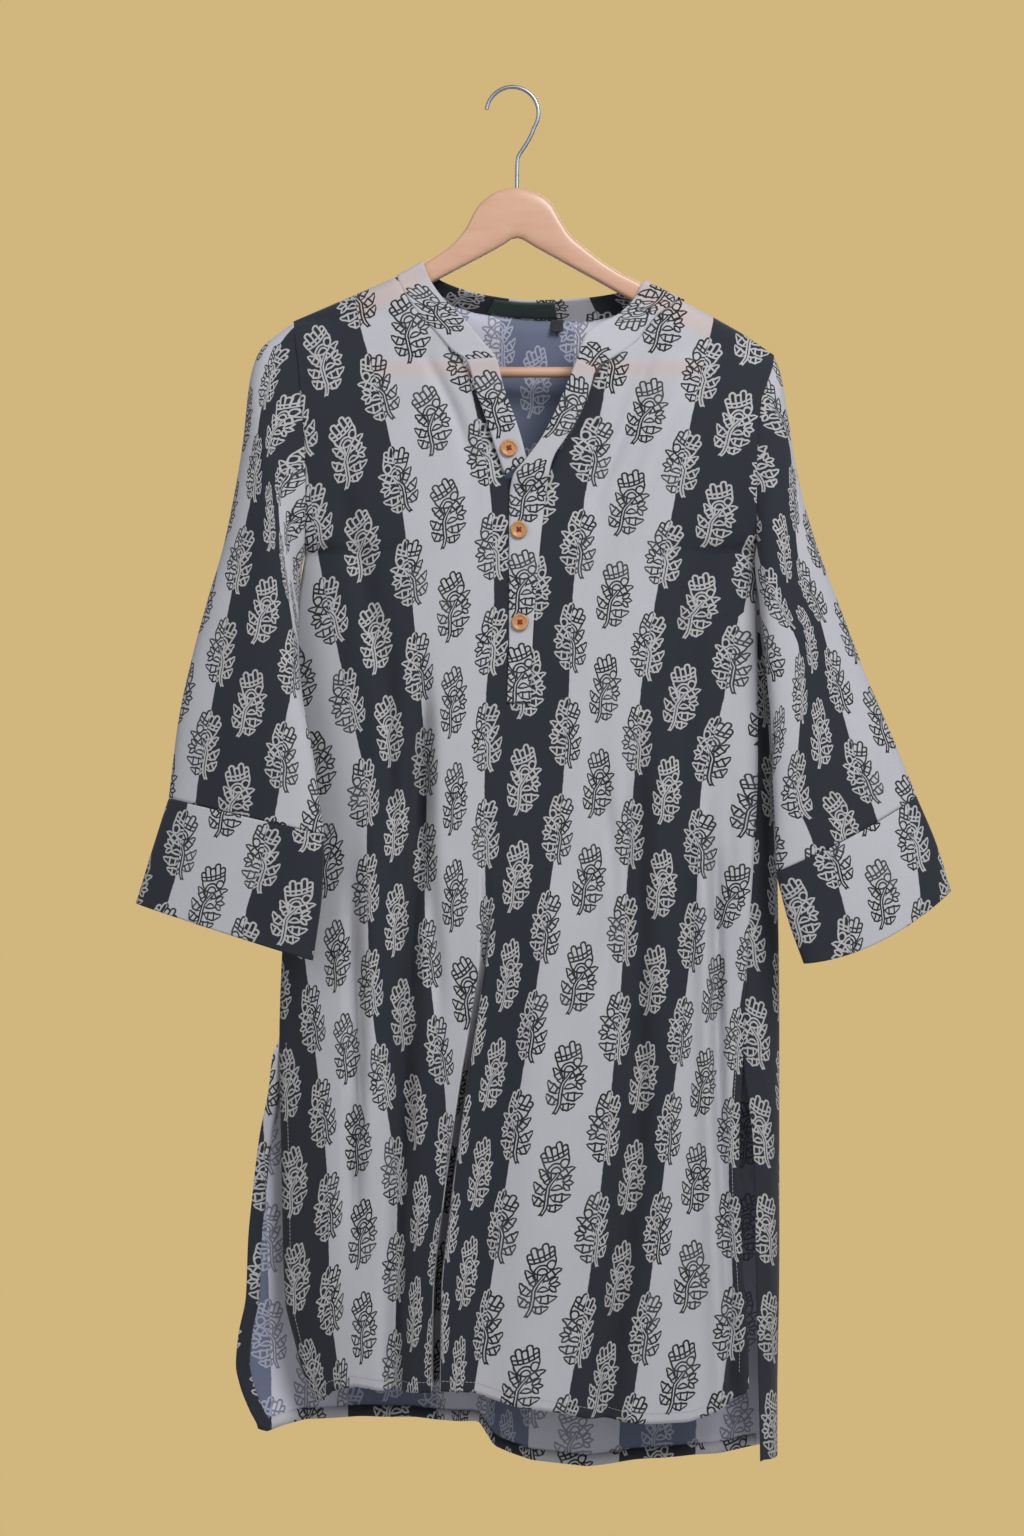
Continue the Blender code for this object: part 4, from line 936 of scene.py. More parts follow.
# The back panel: the same cotton in one piece, lower at the hem than the front. It wraps
# forward at its right side, and its turned hem shows inside the left slit and at the foot.
# Neck and shoulder line of the back: x, z, y.
BACK_TOP = (
    (-0.1962, -0.2055, 0.0000), (-0.1443, -0.1830, 0.0000), (-0.1030, -0.1652, 0.0000),
    (-0.0980, -0.1715, 0.0100), (-0.0745, -0.1822, 0.0200), (-0.0338, -0.1936, 0.0280),
    (0.0152, -0.1996, 0.0320), (0.0676, -0.2010, 0.0280), (0.1117, -0.1922, 0.0180),
    (0.1360, -0.1875, 0.0100), (0.1443, -0.1848, 0.0000), (0.1760, -0.2012, 0.0000),
    (0.2015, -0.2156, 0.0000), (0.2320, -0.2365, 0.0000),
)
#       height   left x   side x  right x  middle y
BACK_EDGE = (
    (-0.2000, -0.1945, 0.2320, 0.2320, 0.0240),
    (-0.2050, -0.1940, 0.2315, 0.2315, 0.0240),
    (-0.2332, -0.1905, 0.2290, 0.2290, 0.0260),
    (-0.2408, -0.1895, 0.2279, 0.2279, 0.0270),
    (-0.2774, -0.1862, 0.2157, 0.2157, 0.0280),
    (-0.3383, -0.1819, 0.2114, 0.2114, 0.0290),
    (-0.4065, -0.1836, 0.2140, 0.2114, 0.0300),
    (-0.4300, -0.1870, 0.2215, 0.2115, 0.0300),
    (-0.4500, -0.1900, 0.2245, 0.2120, 0.0300),
    (-0.4862, -0.1925, 0.2270, 0.2130, 0.0300),
    (-0.5906, -0.1960, 0.2300, 0.2130, 0.0310),
    (-0.6776, -0.2001, 0.2320, 0.2090, 0.0320),
    (-0.7515, -0.2036, 0.2335, 0.2040, 0.0330),
    (-0.8342, -0.2062, 0.2341, 0.2001, 0.0340),
    (-0.8494, -0.2119, 0.2341, 0.2000, 0.0340),
    (-0.8831, -0.2163, 0.2341, 0.2040, 0.0340),
    (-0.9221, -0.2243, 0.2341, 0.2085, 0.0350),
    (-0.9744, -0.2305, 0.2341, 0.2105, 0.0360),
    (-1.0125, -0.2341, 0.2341, 0.2110, 0.0360),
    (-1.0613, -0.2359, 0.2338, 0.2115, 0.0370),
    (-1.0994, -0.2430, 0.2330, 0.2125, 0.0370),
    (-1.1225, -0.2447, 0.2326, 0.2130, 0.0380),
    (-1.1402, -0.2412, 0.2323, 0.2135, 0.0380),
    (-1.1615, -0.2330, 0.2323, 0.2140, 0.0380),
    (-1.1792, -0.2250, 0.2323, 0.2145, 0.0380),
    (-1.2200, -0.2240, 0.2323, 0.2150, 0.0380),
)
BACK_HEM = (
    (-0.2260, -1.1780), (-0.2181, -1.1819), (-0.2038, -1.1779), (-0.1842, -1.1743),
    (-0.1460, -1.1761), (-0.0881, -1.1761), (-0.0685, -1.1788), (-0.0320, -1.1820),
    (-0.0180, -1.2037), (0.0160, -1.2150), (0.0650, -1.2206), (0.1184, -1.2153),
    (0.1976, -1.2055), (0.2181, -1.2010), (0.2323, -1.2028),
)
BACK_FOLDS = (
    (-0.6000, -0.0200, -0.9000, -0.0220, -1.2000, -0.0260, 0.0160, 0.0110),
    (-0.5000, -0.1200, -0.8000, -0.1250, -1.2000, -0.1400, 0.0200, 0.0080),
    (-0.5500, 0.0900, -0.8500, 0.1000, -1.2000, 0.1100, 0.0200, 0.0080),
    (-0.4500, 0.0300, -0.6500, 0.0350, -0.9000, 0.0420, 0.0160, -0.0050),
    (-0.6500, 0.1600, -0.8500, 0.1700, -1.2000, 0.1800, 0.0130, -0.0060),
)
# Edges of the back's stripes: flat place, place across at the neck and at the hem.
BACK_EDGES = (
    (-0.35775, -0.3250, -0.2980), (-0.27825, -0.2400, -0.2130), (-0.19875, -0.1610, -0.1480),
    (-0.11925, -0.0870, -0.0680), (-0.03975, -0.0125, -0.0250), (0.03975, 0.0545, 0.0120),
    (0.11925, 0.1300, 0.0940), (0.19875, 0.2050, 0.1620), (0.27825, 0.2820, 0.2330),
    (0.35775, 0.3600, 0.3100),
)
BACK_PITCH = 0.0862
BACK_PRINT_TOP = -0.2477
BACK_COLS = 150
BACK_ROWS = 200
BACK_TURN = 0.80
HEM_FOLD_SHIFT = (0.000, 0.031)


def below_arm(z):
    """0 above the underarm and 1 below it, where the back wraps round the side."""
    return ease((UNDERARM_Z + 0.004 - z) / 0.045)


def back_point(s, z):
    """Points of the back at shares of its width and heights: x and y."""
    left_x, side_x, right_x, mid_y = (curve(BACK_EDGE, k, z) for k in (1, 2, 3, 4))
    left_low, left_arc = armhole(z, -1)
    right_low, right_arc = armhole(z, 1)
    above = z > UNDERARM_Z
    below = ease((SLIT_Z - z) / 0.1)
    left_y = np.where(above, left_low + left_arc, curve(FRONT_DEPTH, 2, z) + 0.010 * below)
    right_y = np.where(above, right_low + right_arc, curve(FRONT_DEPTH, 3, z) + 0.004 * below)
    edge = mix(left_y, right_y, s) + SEAM
    crown = 1.0 - np.abs(2.0 * s - 1.0) ** CROWN_POWER
    x = mix(left_x, right_x, s)
    y = mix(edge, np.maximum(edge, mid_y), crown)
    turn = np.maximum(0.0, s - BACK_TURN) / (1.0 - BACK_TURN)
    back_s = np.minimum(1.0, s / BACK_TURN)
    rise = 1.0 - np.maximum(0.0, 1.0 - 2.0 * back_s) ** CROWN_POWER
    wide = mix(left_x, side_x - 0.012, back_s)
    deep = mix(left_y + SEAM, mid_y, rise)
    turns = (0.00, 0.25, 0.50, 0.75, 1.00)
    xs = (side_x - 0.0120, side_x - 0.0025, side_x, mix(side_x, right_x, 0.35), right_x)
    ys = (mid_y, mid_y - 0.0090, 0.0060 + 0.0 * mid_y, mix(0.006, right_y, 0.6), right_y + SEAM)
    wide = np.where(turn > 0.0, between(turns, xs, turn), wide)
    deep = np.where(turn > 0.0, between(turns, ys, turn), deep)
    x, y = mix(x, wide, below_arm(z)), mix(y, deep, below_arm(z))
    near = ease(np.minimum(s, 1.0 - s) / 0.10)
    return x, y + fold_push(BACK_FOLDS, x, z) * near


def back_grid():
    """Points of the back and their flat places."""
    t = row_shares(BACK_ROWS)
    s = np.linspace(0.0, 1.0, BACK_COLS)
    top, hem = np.full_like(s, -0.2), np.full_like(s, -1.18)
    top_x, top_z, top_y = (column_of(BACK_TOP, k) for k in (0, 1, 2))
    hem_x, hem_z = (column_of(BACK_HEM, k) for k in (0, 1))
    for _ in range(60):
        top = mix(top, np.interp(back_point(s, top)[0], top_x, top_z), 0.5)
        hem = mix(hem, np.interp(back_point(s, hem)[0], hem_x, hem_z), 0.5)
    y_top = np.interp(back_point(s, top)[0], top_x, top_y) + SEAM
    z = mix(top, hem, t[:, np.newaxis])
    share = np.broadcast_to(s, z.shape)
    x, y = back_point(share, z)
    y = mix(y_top, y, 1.0 - np.exp(-(top - z) / ROLL))
    grid = np.stack([x, y, z], axis=-1)
    across = np.linalg.norm(np.diff(grid, axis=1), axis=2)
    arc = np.concatenate([np.zeros((len(t), 1)), np.cumsum(across, axis=1)], axis=1)
    u = np.zeros_like(arc)
    last = int(BACK_TURN * (BACK_COLS - 1))
    flat_u = column_of(BACK_EDGES, 0)
    for r in range(len(t)):
        down = np.clip(-0.20 - z[r], 0.0, 1.0)
        edges = np.array([mix(row[1], row[2], down) for row in BACK_EDGES])
        for c in range(BACK_COLS):
            u[r, c] = np.interp(x[r, c], edges[:, c], flat_u)
        wrapped = u[r, last] + arc[r] - arc[r, last]
        u[r, last:] = mix(u[r, last:], wrapped[last:], float(below_arm(z[r, last])))
    v = (z - BACK_PRINT_TOP) / BACK_PITCH * SPRIG_PITCH + 0.5 * SPRIG_PITCH
    v = v - 0.25 * SPRIG_PITCH * (u - STRIPE) / (3.0 * STRIPE)
    return grid, np.stack([u, v], axis=-1)


def turned_hem(name, grid, flat, lift):
    """A strip of the back's own edge, folded over onto its inner face."""
    grid = grid.copy()
    grid[..., 1] -= lift
    strip = cloth(name, grid, flat + HEM_FOLD_SHIFT, [printed, printed], wall=0.0004)
    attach(strip, "root")
    return strip


back_places, back_flat = back_grid()
back = cloth("back_cloth", back_places, back_flat, [printed, faded_with_painted_light])
slit_row = int(np.argmax(back_places[:, 0, 2] < SLIT_Z))
foot = slice(-3, None), slice(2, int(BACK_TURN * (BACK_COLS - 1)))
slit = slice(slit_row, None), slice(0, 4)
foot_hem = turned_hem("back_hem_turn", back_places[foot], back_flat[foot], 0.0011)
side_hem = turned_hem("back_slit_turn", back_places[slit], back_flat[slit], 0.0013)
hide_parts("back_panel")
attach(back, "root")


# The sleeves: each one piece of the print, seamed to a tube and set into the armhole. They
# hang flat under their own weight.
#    share  outer x   z       y       inner x   z       y      front   back    sag
SLEEVE_LEFT = (
    (0.000, -0.1955, -0.2060, 0.0000, -0.1850, -0.4085, -0.0020, 0.0210, 0.0210, 0.0),
    (0.060, -0.2120, -0.2185, 0.0000, -0.1868, -0.4200, -0.0060, 0.0215, 0.0200, 0.0),
    (0.120, -0.2235, -0.2300, 0.0000, -0.1875, -0.4350, -0.0120, 0.0220, 0.0190, 0.0),
    (0.200, -0.2320, -0.2550, 0.0000, -0.1878, -0.4600, -0.0220, 0.0220, 0.0180, 0.0),
    (0.320, -0.2384, -0.3122, -0.0020, -0.1870, -0.4939, -0.0320, 0.0220, 0.0160, 0.0),
    (0.480, -0.2541, -0.3992, -0.0060, -0.1832, -0.5350, -0.0420, 0.0220, 0.0140, 0.0),
    (0.600, -0.2688, -0.4514, -0.0100, -0.1775, -0.5620, -0.0480, 0.0220, 0.0130, 0.0),
    (0.720, -0.2802, -0.4949, -0.0140, -0.1733, -0.5850, -0.0520, 0.0210, 0.0120, 0.0),
    (0.860, -0.2930, -0.5558, -0.0190, -0.1690, -0.6150, -0.0560, 0.0200, 0.0120, 0.0),
    (1.000, -0.3010, -0.6235, -0.0240, -0.1632, -0.6540, -0.0600, 0.0190, 0.0120, 0.0),
)
SLEEVE_RIGHT = (
    (0.000, 0.2300, -0.2365, 0.0000, 0.2128, -0.4085, -0.0120, 0.0210, 0.0210, 0.0),
    (0.060, 0.2340, -0.2470, 0.0000, 0.2112, -0.4180, -0.0160, 0.0210, 0.0205, 0.0),
    (0.120, 0.2370, -0.2620, 0.0000, 0.2115, -0.4320, -0.0210, 0.0215, 0.0200, 0.0),
    (0.200, 0.2405, -0.2850, 0.0000, 0.2135, -0.4500, -0.0260, 0.0215, 0.0190, 0.0),
    (0.320, 0.2488, -0.3383, -0.0020, 0.2165, -0.4870, -0.0320, 0.0215, 0.0170, 0.0),
    (0.440, 0.2619, -0.3905, -0.0060, 0.2195, -0.5192, -0.0360, 0.0215, 0.0160, 0.0),
    (0.600, 0.2836, -0.4514, -0.0100, 0.2228, -0.5662, -0.0400, 0.0210, 0.0150, 0.0),
    (0.760, 0.3097, -0.5210, -0.0160, 0.2240, -0.6080, -0.0420, 0.0205, 0.0140, 0.0),
    (0.880, 0.3315, -0.5732, -0.0200, 0.2256, -0.6450, -0.0440, 0.0200, 0.0130, 0.0),
    (1.000, 0.3508, -0.6220, -0.0240, 0.2262, -0.6870, -0.0460, 0.0190, 0.0120, 0.003),
)
SLEEVE_ROUND = 96
SLEEVE_ROWS = 150
ARMHOLE_SHARE = 0.24


def sleeve_point(rows, t, a):
    """Points of a sleeve at a share of its length and an angle round it, 0 at the outer line."""
    ox, oz, oy, ix, iz, iy, front_bow, back_bow, sag = (curve(rows, k, t) for k in range(1, 10))
    w = 0.5 * (1.0 - np.cos(a))
    facing = np.sin(a) >= 0.0
    y = mix(oy, iy, w) + np.where(facing, -front_bow, back_bow) * lens(w)
    drop = np.where(facing, sag * 4.0 * w * (1.0 - w), 0.0)
    return np.stack([mix(ox, ix, w), y, mix(oz, iz, w) - drop], axis=-1)


# Where the edges of one stripe run down each sleeve, seen from the front: height, place across.
OUTER_EDGE_LEFT = (
    (-0.2049, -0.1902), (-0.2328, -0.2086), (-0.2633, -0.2147), (-0.2851, -0.2208),
    (-0.3637, -0.2295), (-0.3846, -0.2339), (-0.4475, -0.2461), (-0.5295, -0.2592),
    (-0.6141, -0.2740), (-0.6298, -0.2758),
)
INNER_EDGE_LEFT = (
    (-0.2153, -0.1710), (-0.3113, -0.1763), (-0.3340, -0.1841), (-0.3410, -0.1955),
    (-0.3532, -0.2051), (-0.3899, -0.2033), (-0.4117, -0.2007), (-0.4509, -0.1955),
    (-0.4858, -0.1902), (-0.5382, -0.1929), (-0.5600, -0.1972), (-0.6167, -0.2016),
    (-0.6447, -0.2068),
)
OUTER_EDGE_RIGHT = (
    (-0.2328, 0.2277), (-0.2468, 0.2234), (-0.2633, 0.2190), (-0.2851, 0.2277),
    (-0.3113, 0.2408), (-0.3375, 0.2434), (-0.3986, 0.2452), (-0.4291, 0.2496),
    (-0.4597, 0.2626), (-0.4946, 0.2722), (-0.5426, 0.2827), (-0.5600, 0.2871),
    (-0.5993, 0.2984), (-0.6211, 0.3063), (-0.6429, 0.3141),
)
INNER_EDGE_RIGHT = (
    (-0.3462, 0.2059), (-0.4160, 0.2129), (-0.4422, 0.2216), (-0.4684, 0.2347),
    (-0.4928, 0.2469), (-0.5382, 0.2478), (-0.5775, 0.2452), (-0.6255, 0.2426),
    (-0.6473, 0.2522), (-0.6691, 0.2600),
)
# Which way the grain runs down each sleeve, by its side: shares of x and z.
GRAIN = {-1: (0.157, 0.987), 1: (-0.212, 0.977)}


def edge_along(past, arc):
    """Where each ring of a sleeve meets a stripe's edge, as a length round from its outer line."""
    found = np.argmax(past >= 0.0, axis=1)
    rows = np.arange(len(found))
    real = (found > 0) & (past[rows, found] >= 0.0)
    before = np.maximum(found - 1, 0)
    share = -past[rows, before] / np.where(real, past[rows, found] - past[rows, before], 1.0)
    place = mix(arc[rows, before], arc[rows, found], share)
    place = np.interp(rows, rows[real], place[real])
    padded = np.pad(place, 4, mode="edge")
    return np.convolve(padded, np.full(9, 1.0 / 9.0), mode="valid")[:, np.newaxis]


def make_sleeve(name, rows, count, side, fit, edges, edge_u, phase):
    """A sleeve or cuff as a tube, seamed along its inner line, with the print's flat places."""
    t = np.linspace(0.0, 1.0, count + 1)[:, np.newaxis]
    a = np.linspace(-math.pi, math.pi, SLEEVE_ROUND + 1)[np.newaxis]
    t, a = np.broadcast_arrays(t, a)
    grid = sleeve_point(rows, t, a)
    if fit:
        start = sleeve_point(rows, np.zeros_like(t), a)
        want = curve(FRONT_EDGE, 1 if side < 0 else 3, start[..., 2])
        grid[..., 0] += (want - start[..., 0]) * np.maximum(0.0, 1.0 - t / ARMHOLE_SHARE) ** 2
    steps = np.linalg.norm(np.diff(grid, axis=1), axis=2)
    arc = np.concatenate([np.zeros((count + 1, 1)), np.cumsum(steps, axis=1)], axis=1)
    middle = SLEEVE_ROUND // 2
    arc = arc - arc[:, middle][:, np.newaxis]
    across = grid[..., 0] * GRAIN[side][1] - grid[..., 2] * GRAIN[side][0]
    span = np.abs(across[:, 0] - across[:, middle]) / -arc[:, 0]
    arc = np.where(arc < 0.0, arc * span[:, np.newaxis], arc)
    front_half = grid[:, middle:]
    x, z = front_half[..., 0], front_half[..., 2]
    outer, inner = (
        edge_along((curve(edge, 1, z) - x) * side, arc[:, middle:]) for edge in edges
    )
    inner = np.maximum(inner, outer + 0.4 * STRIPE)
    between_edges = STRIPE * (arc - outer) / (inner - outer)
    past_outer = np.where(arc < inner, between_edges, STRIPE + arc - inner)
    u = edge_u - side * np.where(arc < outer, arc - outer, past_outer)
    v = grid[..., 0] * GRAIN[side][0] + grid[..., 2] * GRAIN[side][1] + phase
    obj = cloth(name, grid, np.stack([u, v], axis=-1), [printed, faded_with_painted_light], flip=(side < 0))
    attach(obj, "root")
    return obj


EDGE_U = 0.5 * STRIPE
HALF_PITCH = 0.5 * SPRIG_PITCH
sleeve_left = make_sleeve(
    "sleeve_cloth_left", SLEEVE_LEFT, SLEEVE_ROWS, -1, True,
    (OUTER_EDGE_LEFT, INNER_EDGE_LEFT), -EDGE_U, 0.4899 + HALF_PITCH,
)
sleeve_right = make_sleeve(
    "sleeve_cloth_right", SLEEVE_RIGHT, SLEEVE_ROWS, 1, True,
    (OUTER_EDGE_RIGHT, INNER_EDGE_RIGHT), EDGE_U, 0.6107 + HALF_PITCH,
)
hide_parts("sleeve_left")
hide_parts("sleeve_right")


# The cuffs: a deep straight band of the same print round each sleeve's end, folded over and
# sewn on, so that its stripes stand a step away from the sleeve's.
CUFF_LEFT = (
    (0.000, -0.3012, -0.6240, -0.0240, -0.1632, -0.6545, -0.0600, 0.0190, 0.0120, 0.0),
    (0.500, -0.3155, -0.6700, -0.0270, -0.1645, -0.7010, -0.0620, 0.0185, 0.0120, 0.0),
    (1.000, -0.3289, -0.7150, -0.0300, -0.1723, -0.7628, -0.0640, 0.0180, 0.0120, 0.0),
)
CUFF_RIGHT = (
    (0.000, 0.3510, -0.6225, -0.0240, 0.2262, -0.6875, -0.0460, 0.0190, 0.0120, 0.003),
    (0.500, 0.3680, -0.6640, -0.0270, 0.2360, -0.7270, -0.0500, 0.0185, 0.0120, 0.006),
    (1.000, 0.3800, -0.7040, -0.0300, 0.2495, -0.7660, -0.0540, 0.0180, 0.0120, 0.012),
)
CUFF_ROWS = 60

CUFF_EDGES_LEFT = (
    ((-0.6298, -0.2827), (-0.6953, -0.2932), (-0.7232, -0.3028)),
    ((-0.6447, -0.2121), (-0.6778, -0.2164), (-0.7215, -0.2304), (-0.7406, -0.2321)),
)
CUFF_EDGES_RIGHT = (
    ((-0.6324, 0.3412), (-0.6735, 0.3473), (-0.7040, 0.3508)),
    ((-0.6691, 0.2722), (-0.7127, 0.2827), (-0.7345, 0.2888)),
)

cuff_left = make_sleeve(
    "cuff_cloth_left", CUFF_LEFT, CUFF_ROWS, -1, False, CUFF_EDGES_LEFT, EDGE_U, 0.7008,
)
cuff_right = make_sleeve(
    "cuff_cloth_right", CUFF_RIGHT, CUFF_ROWS, 1, False, CUFF_EDGES_RIGHT,
    3.0 * EDGE_U, 0.7576 + HALF_PITCH,
)
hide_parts("cuff_left")
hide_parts("cuff_right")


# The neck band: one folded strip of the print, interlined so that it stands, sewn round the
# neck from the slit's left side over both shoulders to its right side.
#    seam x    y       z        edge x    y       z
BAND = (
    (-0.0078, -0.0318, -0.3426, 0.0110, -0.0318, -0.3290),
    (-0.0157, -0.0316, -0.3209, 0.0060, -0.0316, -0.3090),
    (-0.0253, -0.0312, -0.2909, -0.0005, -0.0314, -0.2891),
    (-0.0322, -0.0305, -0.2730, -0.0090, -0.0310, -0.2661),
    (-0.0418, -0.0290, -0.2420, -0.0157, -0.0300, -0.2400),
    (-0.0541, -0.0250, -0.2330, -0.0253, -0.0280, -0.2282),
    (-0.0681, -0.0220, -0.2169, -0.0358, -0.0240, -0.2147),
    (-0.0822, -0.0180, -0.2015, -0.0498, -0.0210, -0.1986),
    (-0.0946, -0.0130, -0.1841, -0.0621, -0.0160, -0.1864),
    (-0.1005, -0.0105, -0.1730, -0.0737, -0.0105, -0.1690),
    (-0.1024, -0.0085, -0.1668, -0.0798, -0.0088, -0.1545),
    (-0.1030, 0.0000, -0.1640, -0.0818, 0.0000, -0.1520),
    (-0.1024, 0.0085, -0.1660, -0.0798, 0.0080, -0.1540),
    (-0.0960, 0.0125, -0.1725, -0.0724, 0.0095, -0.1620),
    (-0.0745, 0.0205, -0.1808, -0.0548, 0.0120, -0.1710),
    (-0.0338, 0.0285, -0.1916, -0.0239, 0.0160, -0.1790),
    (0.0152, 0.0325, -0.1976, 0.0151, 0.0180, -0.1830),
    (0.0676, 0.0285, -0.1991, 0.0600, 0.0160, -0.1815),
    (0.1117, 0.0185, -0.1900, 0.0940, 0.0120, -0.1770),
    (0.1360, 0.0125, -0.1862, 0.1075, 0.0095, -0.1735),
    (0.1438, 0.0085, -0.1842, 0.1130, 0.0080, -0.1700),
    (0.1443, 0.0000, -0.1826, 0.1153, 0.0000, -0.1680),
    (0.1438, -0.0085, -0.1850, 0.1130, -0.0088, -0.1710),
    (0.1386, -0.0105, -0.1906, 0.1052, -0.0105, -0.1860),
    (0.1234, -0.0140, -0.2028, 0.0910, -0.0140, -0.2001),
    (0.1066, -0.0190, -0.2254, 0.0751, -0.0200, -0.2089),
    (0.0889, -0.0240, -0.2383, 0.0627, -0.0260, -0.2194),
    (0.0735, -0.0272, -0.2474, 0.0563, -0.0290, -0.2380),
    (0.0690, -0.0282, -0.2560, 0.0520, -0.0298, -0.2470),
)
BAND_STEPS = 8
BAND_ACROSS = 13
BAND_WALL = 0.0011


def band_point(p, f):
    """Points of the neck band: p counts along its rows, f runs from seam to free edge."""
    index = [(k,) + row for k, row in enumerate(BAND)]
    seam = np.stack([curve(index, k, p) for k in (1, 2, 3)], axis=-1)
    edge = np.stack([curve(index, k, p) for k in (4, 5, 6)], axis=-1)
    return mix(seam, edge, f[..., np.newaxis])


def lengths_along(line):
    """Length from the first point of a line to each of its points."""
    return np.concatenate([[0.0], np.cumsum(np.linalg.norm(np.diff(line, axis=0), axis=1))])


def make_band(name, first, last, across_grain, u_start, v_start, under=0.0):
    """One strip of the band between two rows, cut along the grain or across it."""
    count = int(round(BAND_STEPS * (last - first)))
    p = np.linspace(first, last, count + 1)[:, np.newaxis]
    f = np.linspace(-under, 1.0, BAND_ACROSS)[np.newaxis]
    p, f = np.broadcast_arrays(p, f)
    grid = band_point(p, f)
    length = lengths_along(grid[:, BAND_ACROSS // 2])[:, np.newaxis] + 0.0 * f
    wide = np.linalg.norm(grid[:, -1] - grid[:, 0], axis=1)[:, np.newaxis]
    if across_grain:
        flat = np.stack([u_start + length, v_start + f * wide], axis=-1)
    else:
        flat = np.stack([u_start + (f - 0.5) * wide, v_start + length], axis=-1)
    obj = cloth(name, grid, flat, [printed, printed], wall=BAND_WALL)
    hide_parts("neck_band")
    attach(obj, "root")
    return obj


SHOULDER_LEFT, SHOULDER_RIGHT = 12, 21
CORNER = 4
facing = make_band("neck_facing_left", 0, CORNER, False, STRIPE, HALF_PITCH - 0.058)
collar_left = make_band("neck_band_left", CORNER, SHOULDER_LEFT, False, STRIPE, HALF_PITCH - 0.060)
collar_back = make_band(
    "neck_band_back", SHOULDER_LEFT, SHOULDER_RIGHT, True, -0.055, 0.020, under=0.2,
)
collar_right = make_band("neck_band_right", SHOULDER_RIGHT, len(BAND) - 1, False, STRIPE, 0.010)


# The button placket: a folded band of the print over the slit, sewn down to a squared foot.
# Its upper end rises off the front to meet the neck band.
#     left x   z        right x  z       free y, or 0 where it lies on the front
PLACKET = (
    (0.0548, -0.2415, 0.0705, -0.2500, -0.0312),
    (0.0486, -0.2570, 0.0655, -0.2700, -0.0320),
    (0.0356, -0.2880, 0.0550, -0.2940, -0.0332),
    (0.0234, -0.3110, 0.0440, -0.3120, -0.0344),
    (0.0110, -0.3280, 0.0350, -0.3260, -0.0348),
    (-0.0010, -0.3440, 0.0310, -0.3390, -0.0348),
    (-0.0040, -0.3620, 0.0280, -0.3600, 0.0),
    (-0.0044, -0.3926, 0.0238, -0.3926, 0.0),
    (-0.0044, -0.4250, 0.0208, -0.4250, 0.0),
    (-0.0044, -0.4560, 0.0180, -0.4560, 0.0),
    (-0.0044, -0.4864, 0.0162, -0.4864, 0.0),
    (-0.0052, -0.5150, 0.0152, -0.5150, 0.0),
    (-0.0061, -0.5411, 0.0147, -0.5411, 0.0),
)
PLACKET_LIFT = 0.0016
PLACKET_SPRIG = 0.4383
PLACKET_STEPS = 12
PLACKET_ACROSS = 13


def front_surface(x, z):
    """Depth of the outer face of the front at places near the middle."""
    low, high = np.full(x.shape, -0.16), np.full(x.shape, 0.16)
    for _ in range(30):
        u = 0.5 * (low + high)
        before = front_x(u, z) < x
        low, high = np.where(before, u, low), np.where(before, high, u)
    return front_y(x, z, 0.5 * (low + high))


def make_placket():
    index = [(k,) + row for k, row in enumerate(PLACKET)]
    count = PLACKET_STEPS * (len(PLACKET) - 1)
    p = np.linspace(0.0, len(PLACKET) - 1.0, count + 1)
    lx, lz, rx, rz = (curve(index, k, p)[:, np.newaxis] for k in (1, 2, 3, 4))
    f = np.linspace(0.0, 1.0, PLACKET_ACROSS)[np.newaxis]
    x, z = mix(lx, rx, f), mix(lz, rz, f)
    free = [y for y in column_of(PLACKET, 4) if y < 0.0]
    keys = list(range(len(free)))
    resting = front_surface(x, z) - PLACKET_LIFT
    lifted = np.broadcast_to(between(keys, free, p)[:, np.newaxis], x.shape)
    y = mix(lifted, resting, ease((p[:, np.newaxis] - len(free) + 1.0)))
    grid = np.stack([x, y, z], axis=-1)
    length = lengths_along(grid[:, PLACKET_ACROSS // 2])
    start = float(np.interp(PLACKET_SPRIG, -z[:, PLACKET_ACROSS // 2], length))
    wide = np.linalg.norm(grid[:, -1] - grid[:, 0], axis=1)[:, np.newaxis]
    u = STRIPE + (f - 0.5) * wide
    v = np.broadcast_to((start - length + HALF_PITCH)[:, np.newaxis], u.shape)
    flat = np.stack([u, v], axis=-1)
    return cloth("placket_cloth", grid, flat, [printed, printed], flip=True, wall=BAND_WALL)


placket = make_placket()
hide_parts("placket")
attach(placket, "root")


# The top stitching: one pale cotton thread in short even stitches, along the front's turned
# hem and both of its slits. It is sewn through the cloth.
STITCH = 0.0024
STITCH_GAP = 0.0010
STITCH_LOW, STITCH_HIGH = 0.00005, 0.00035
THREAD_HALF = 0.00022
HEM_WIDTH = 0.0090


def make_thread(name, color):
    material, start, shader = finish_of(name)
    place = start.node("ShaderNodeTexCoord", pick=3)
    fuzz = start.node("ShaderNodeTexNoise", {"Vector": place, "Scale": 1400.0, "Detail": 2.0})
    dull = tuple(0.7 * c for c in color[:3]) + (1.0,)
    feed(shader, Base_Color=fuzz.step(0.3, 0.7).blend(color, dull), Roughness=0.75)
    return material


pale_thread = make_thread("pale_cotton_thread", (0.50, 0.50, 0.53, 1.0))


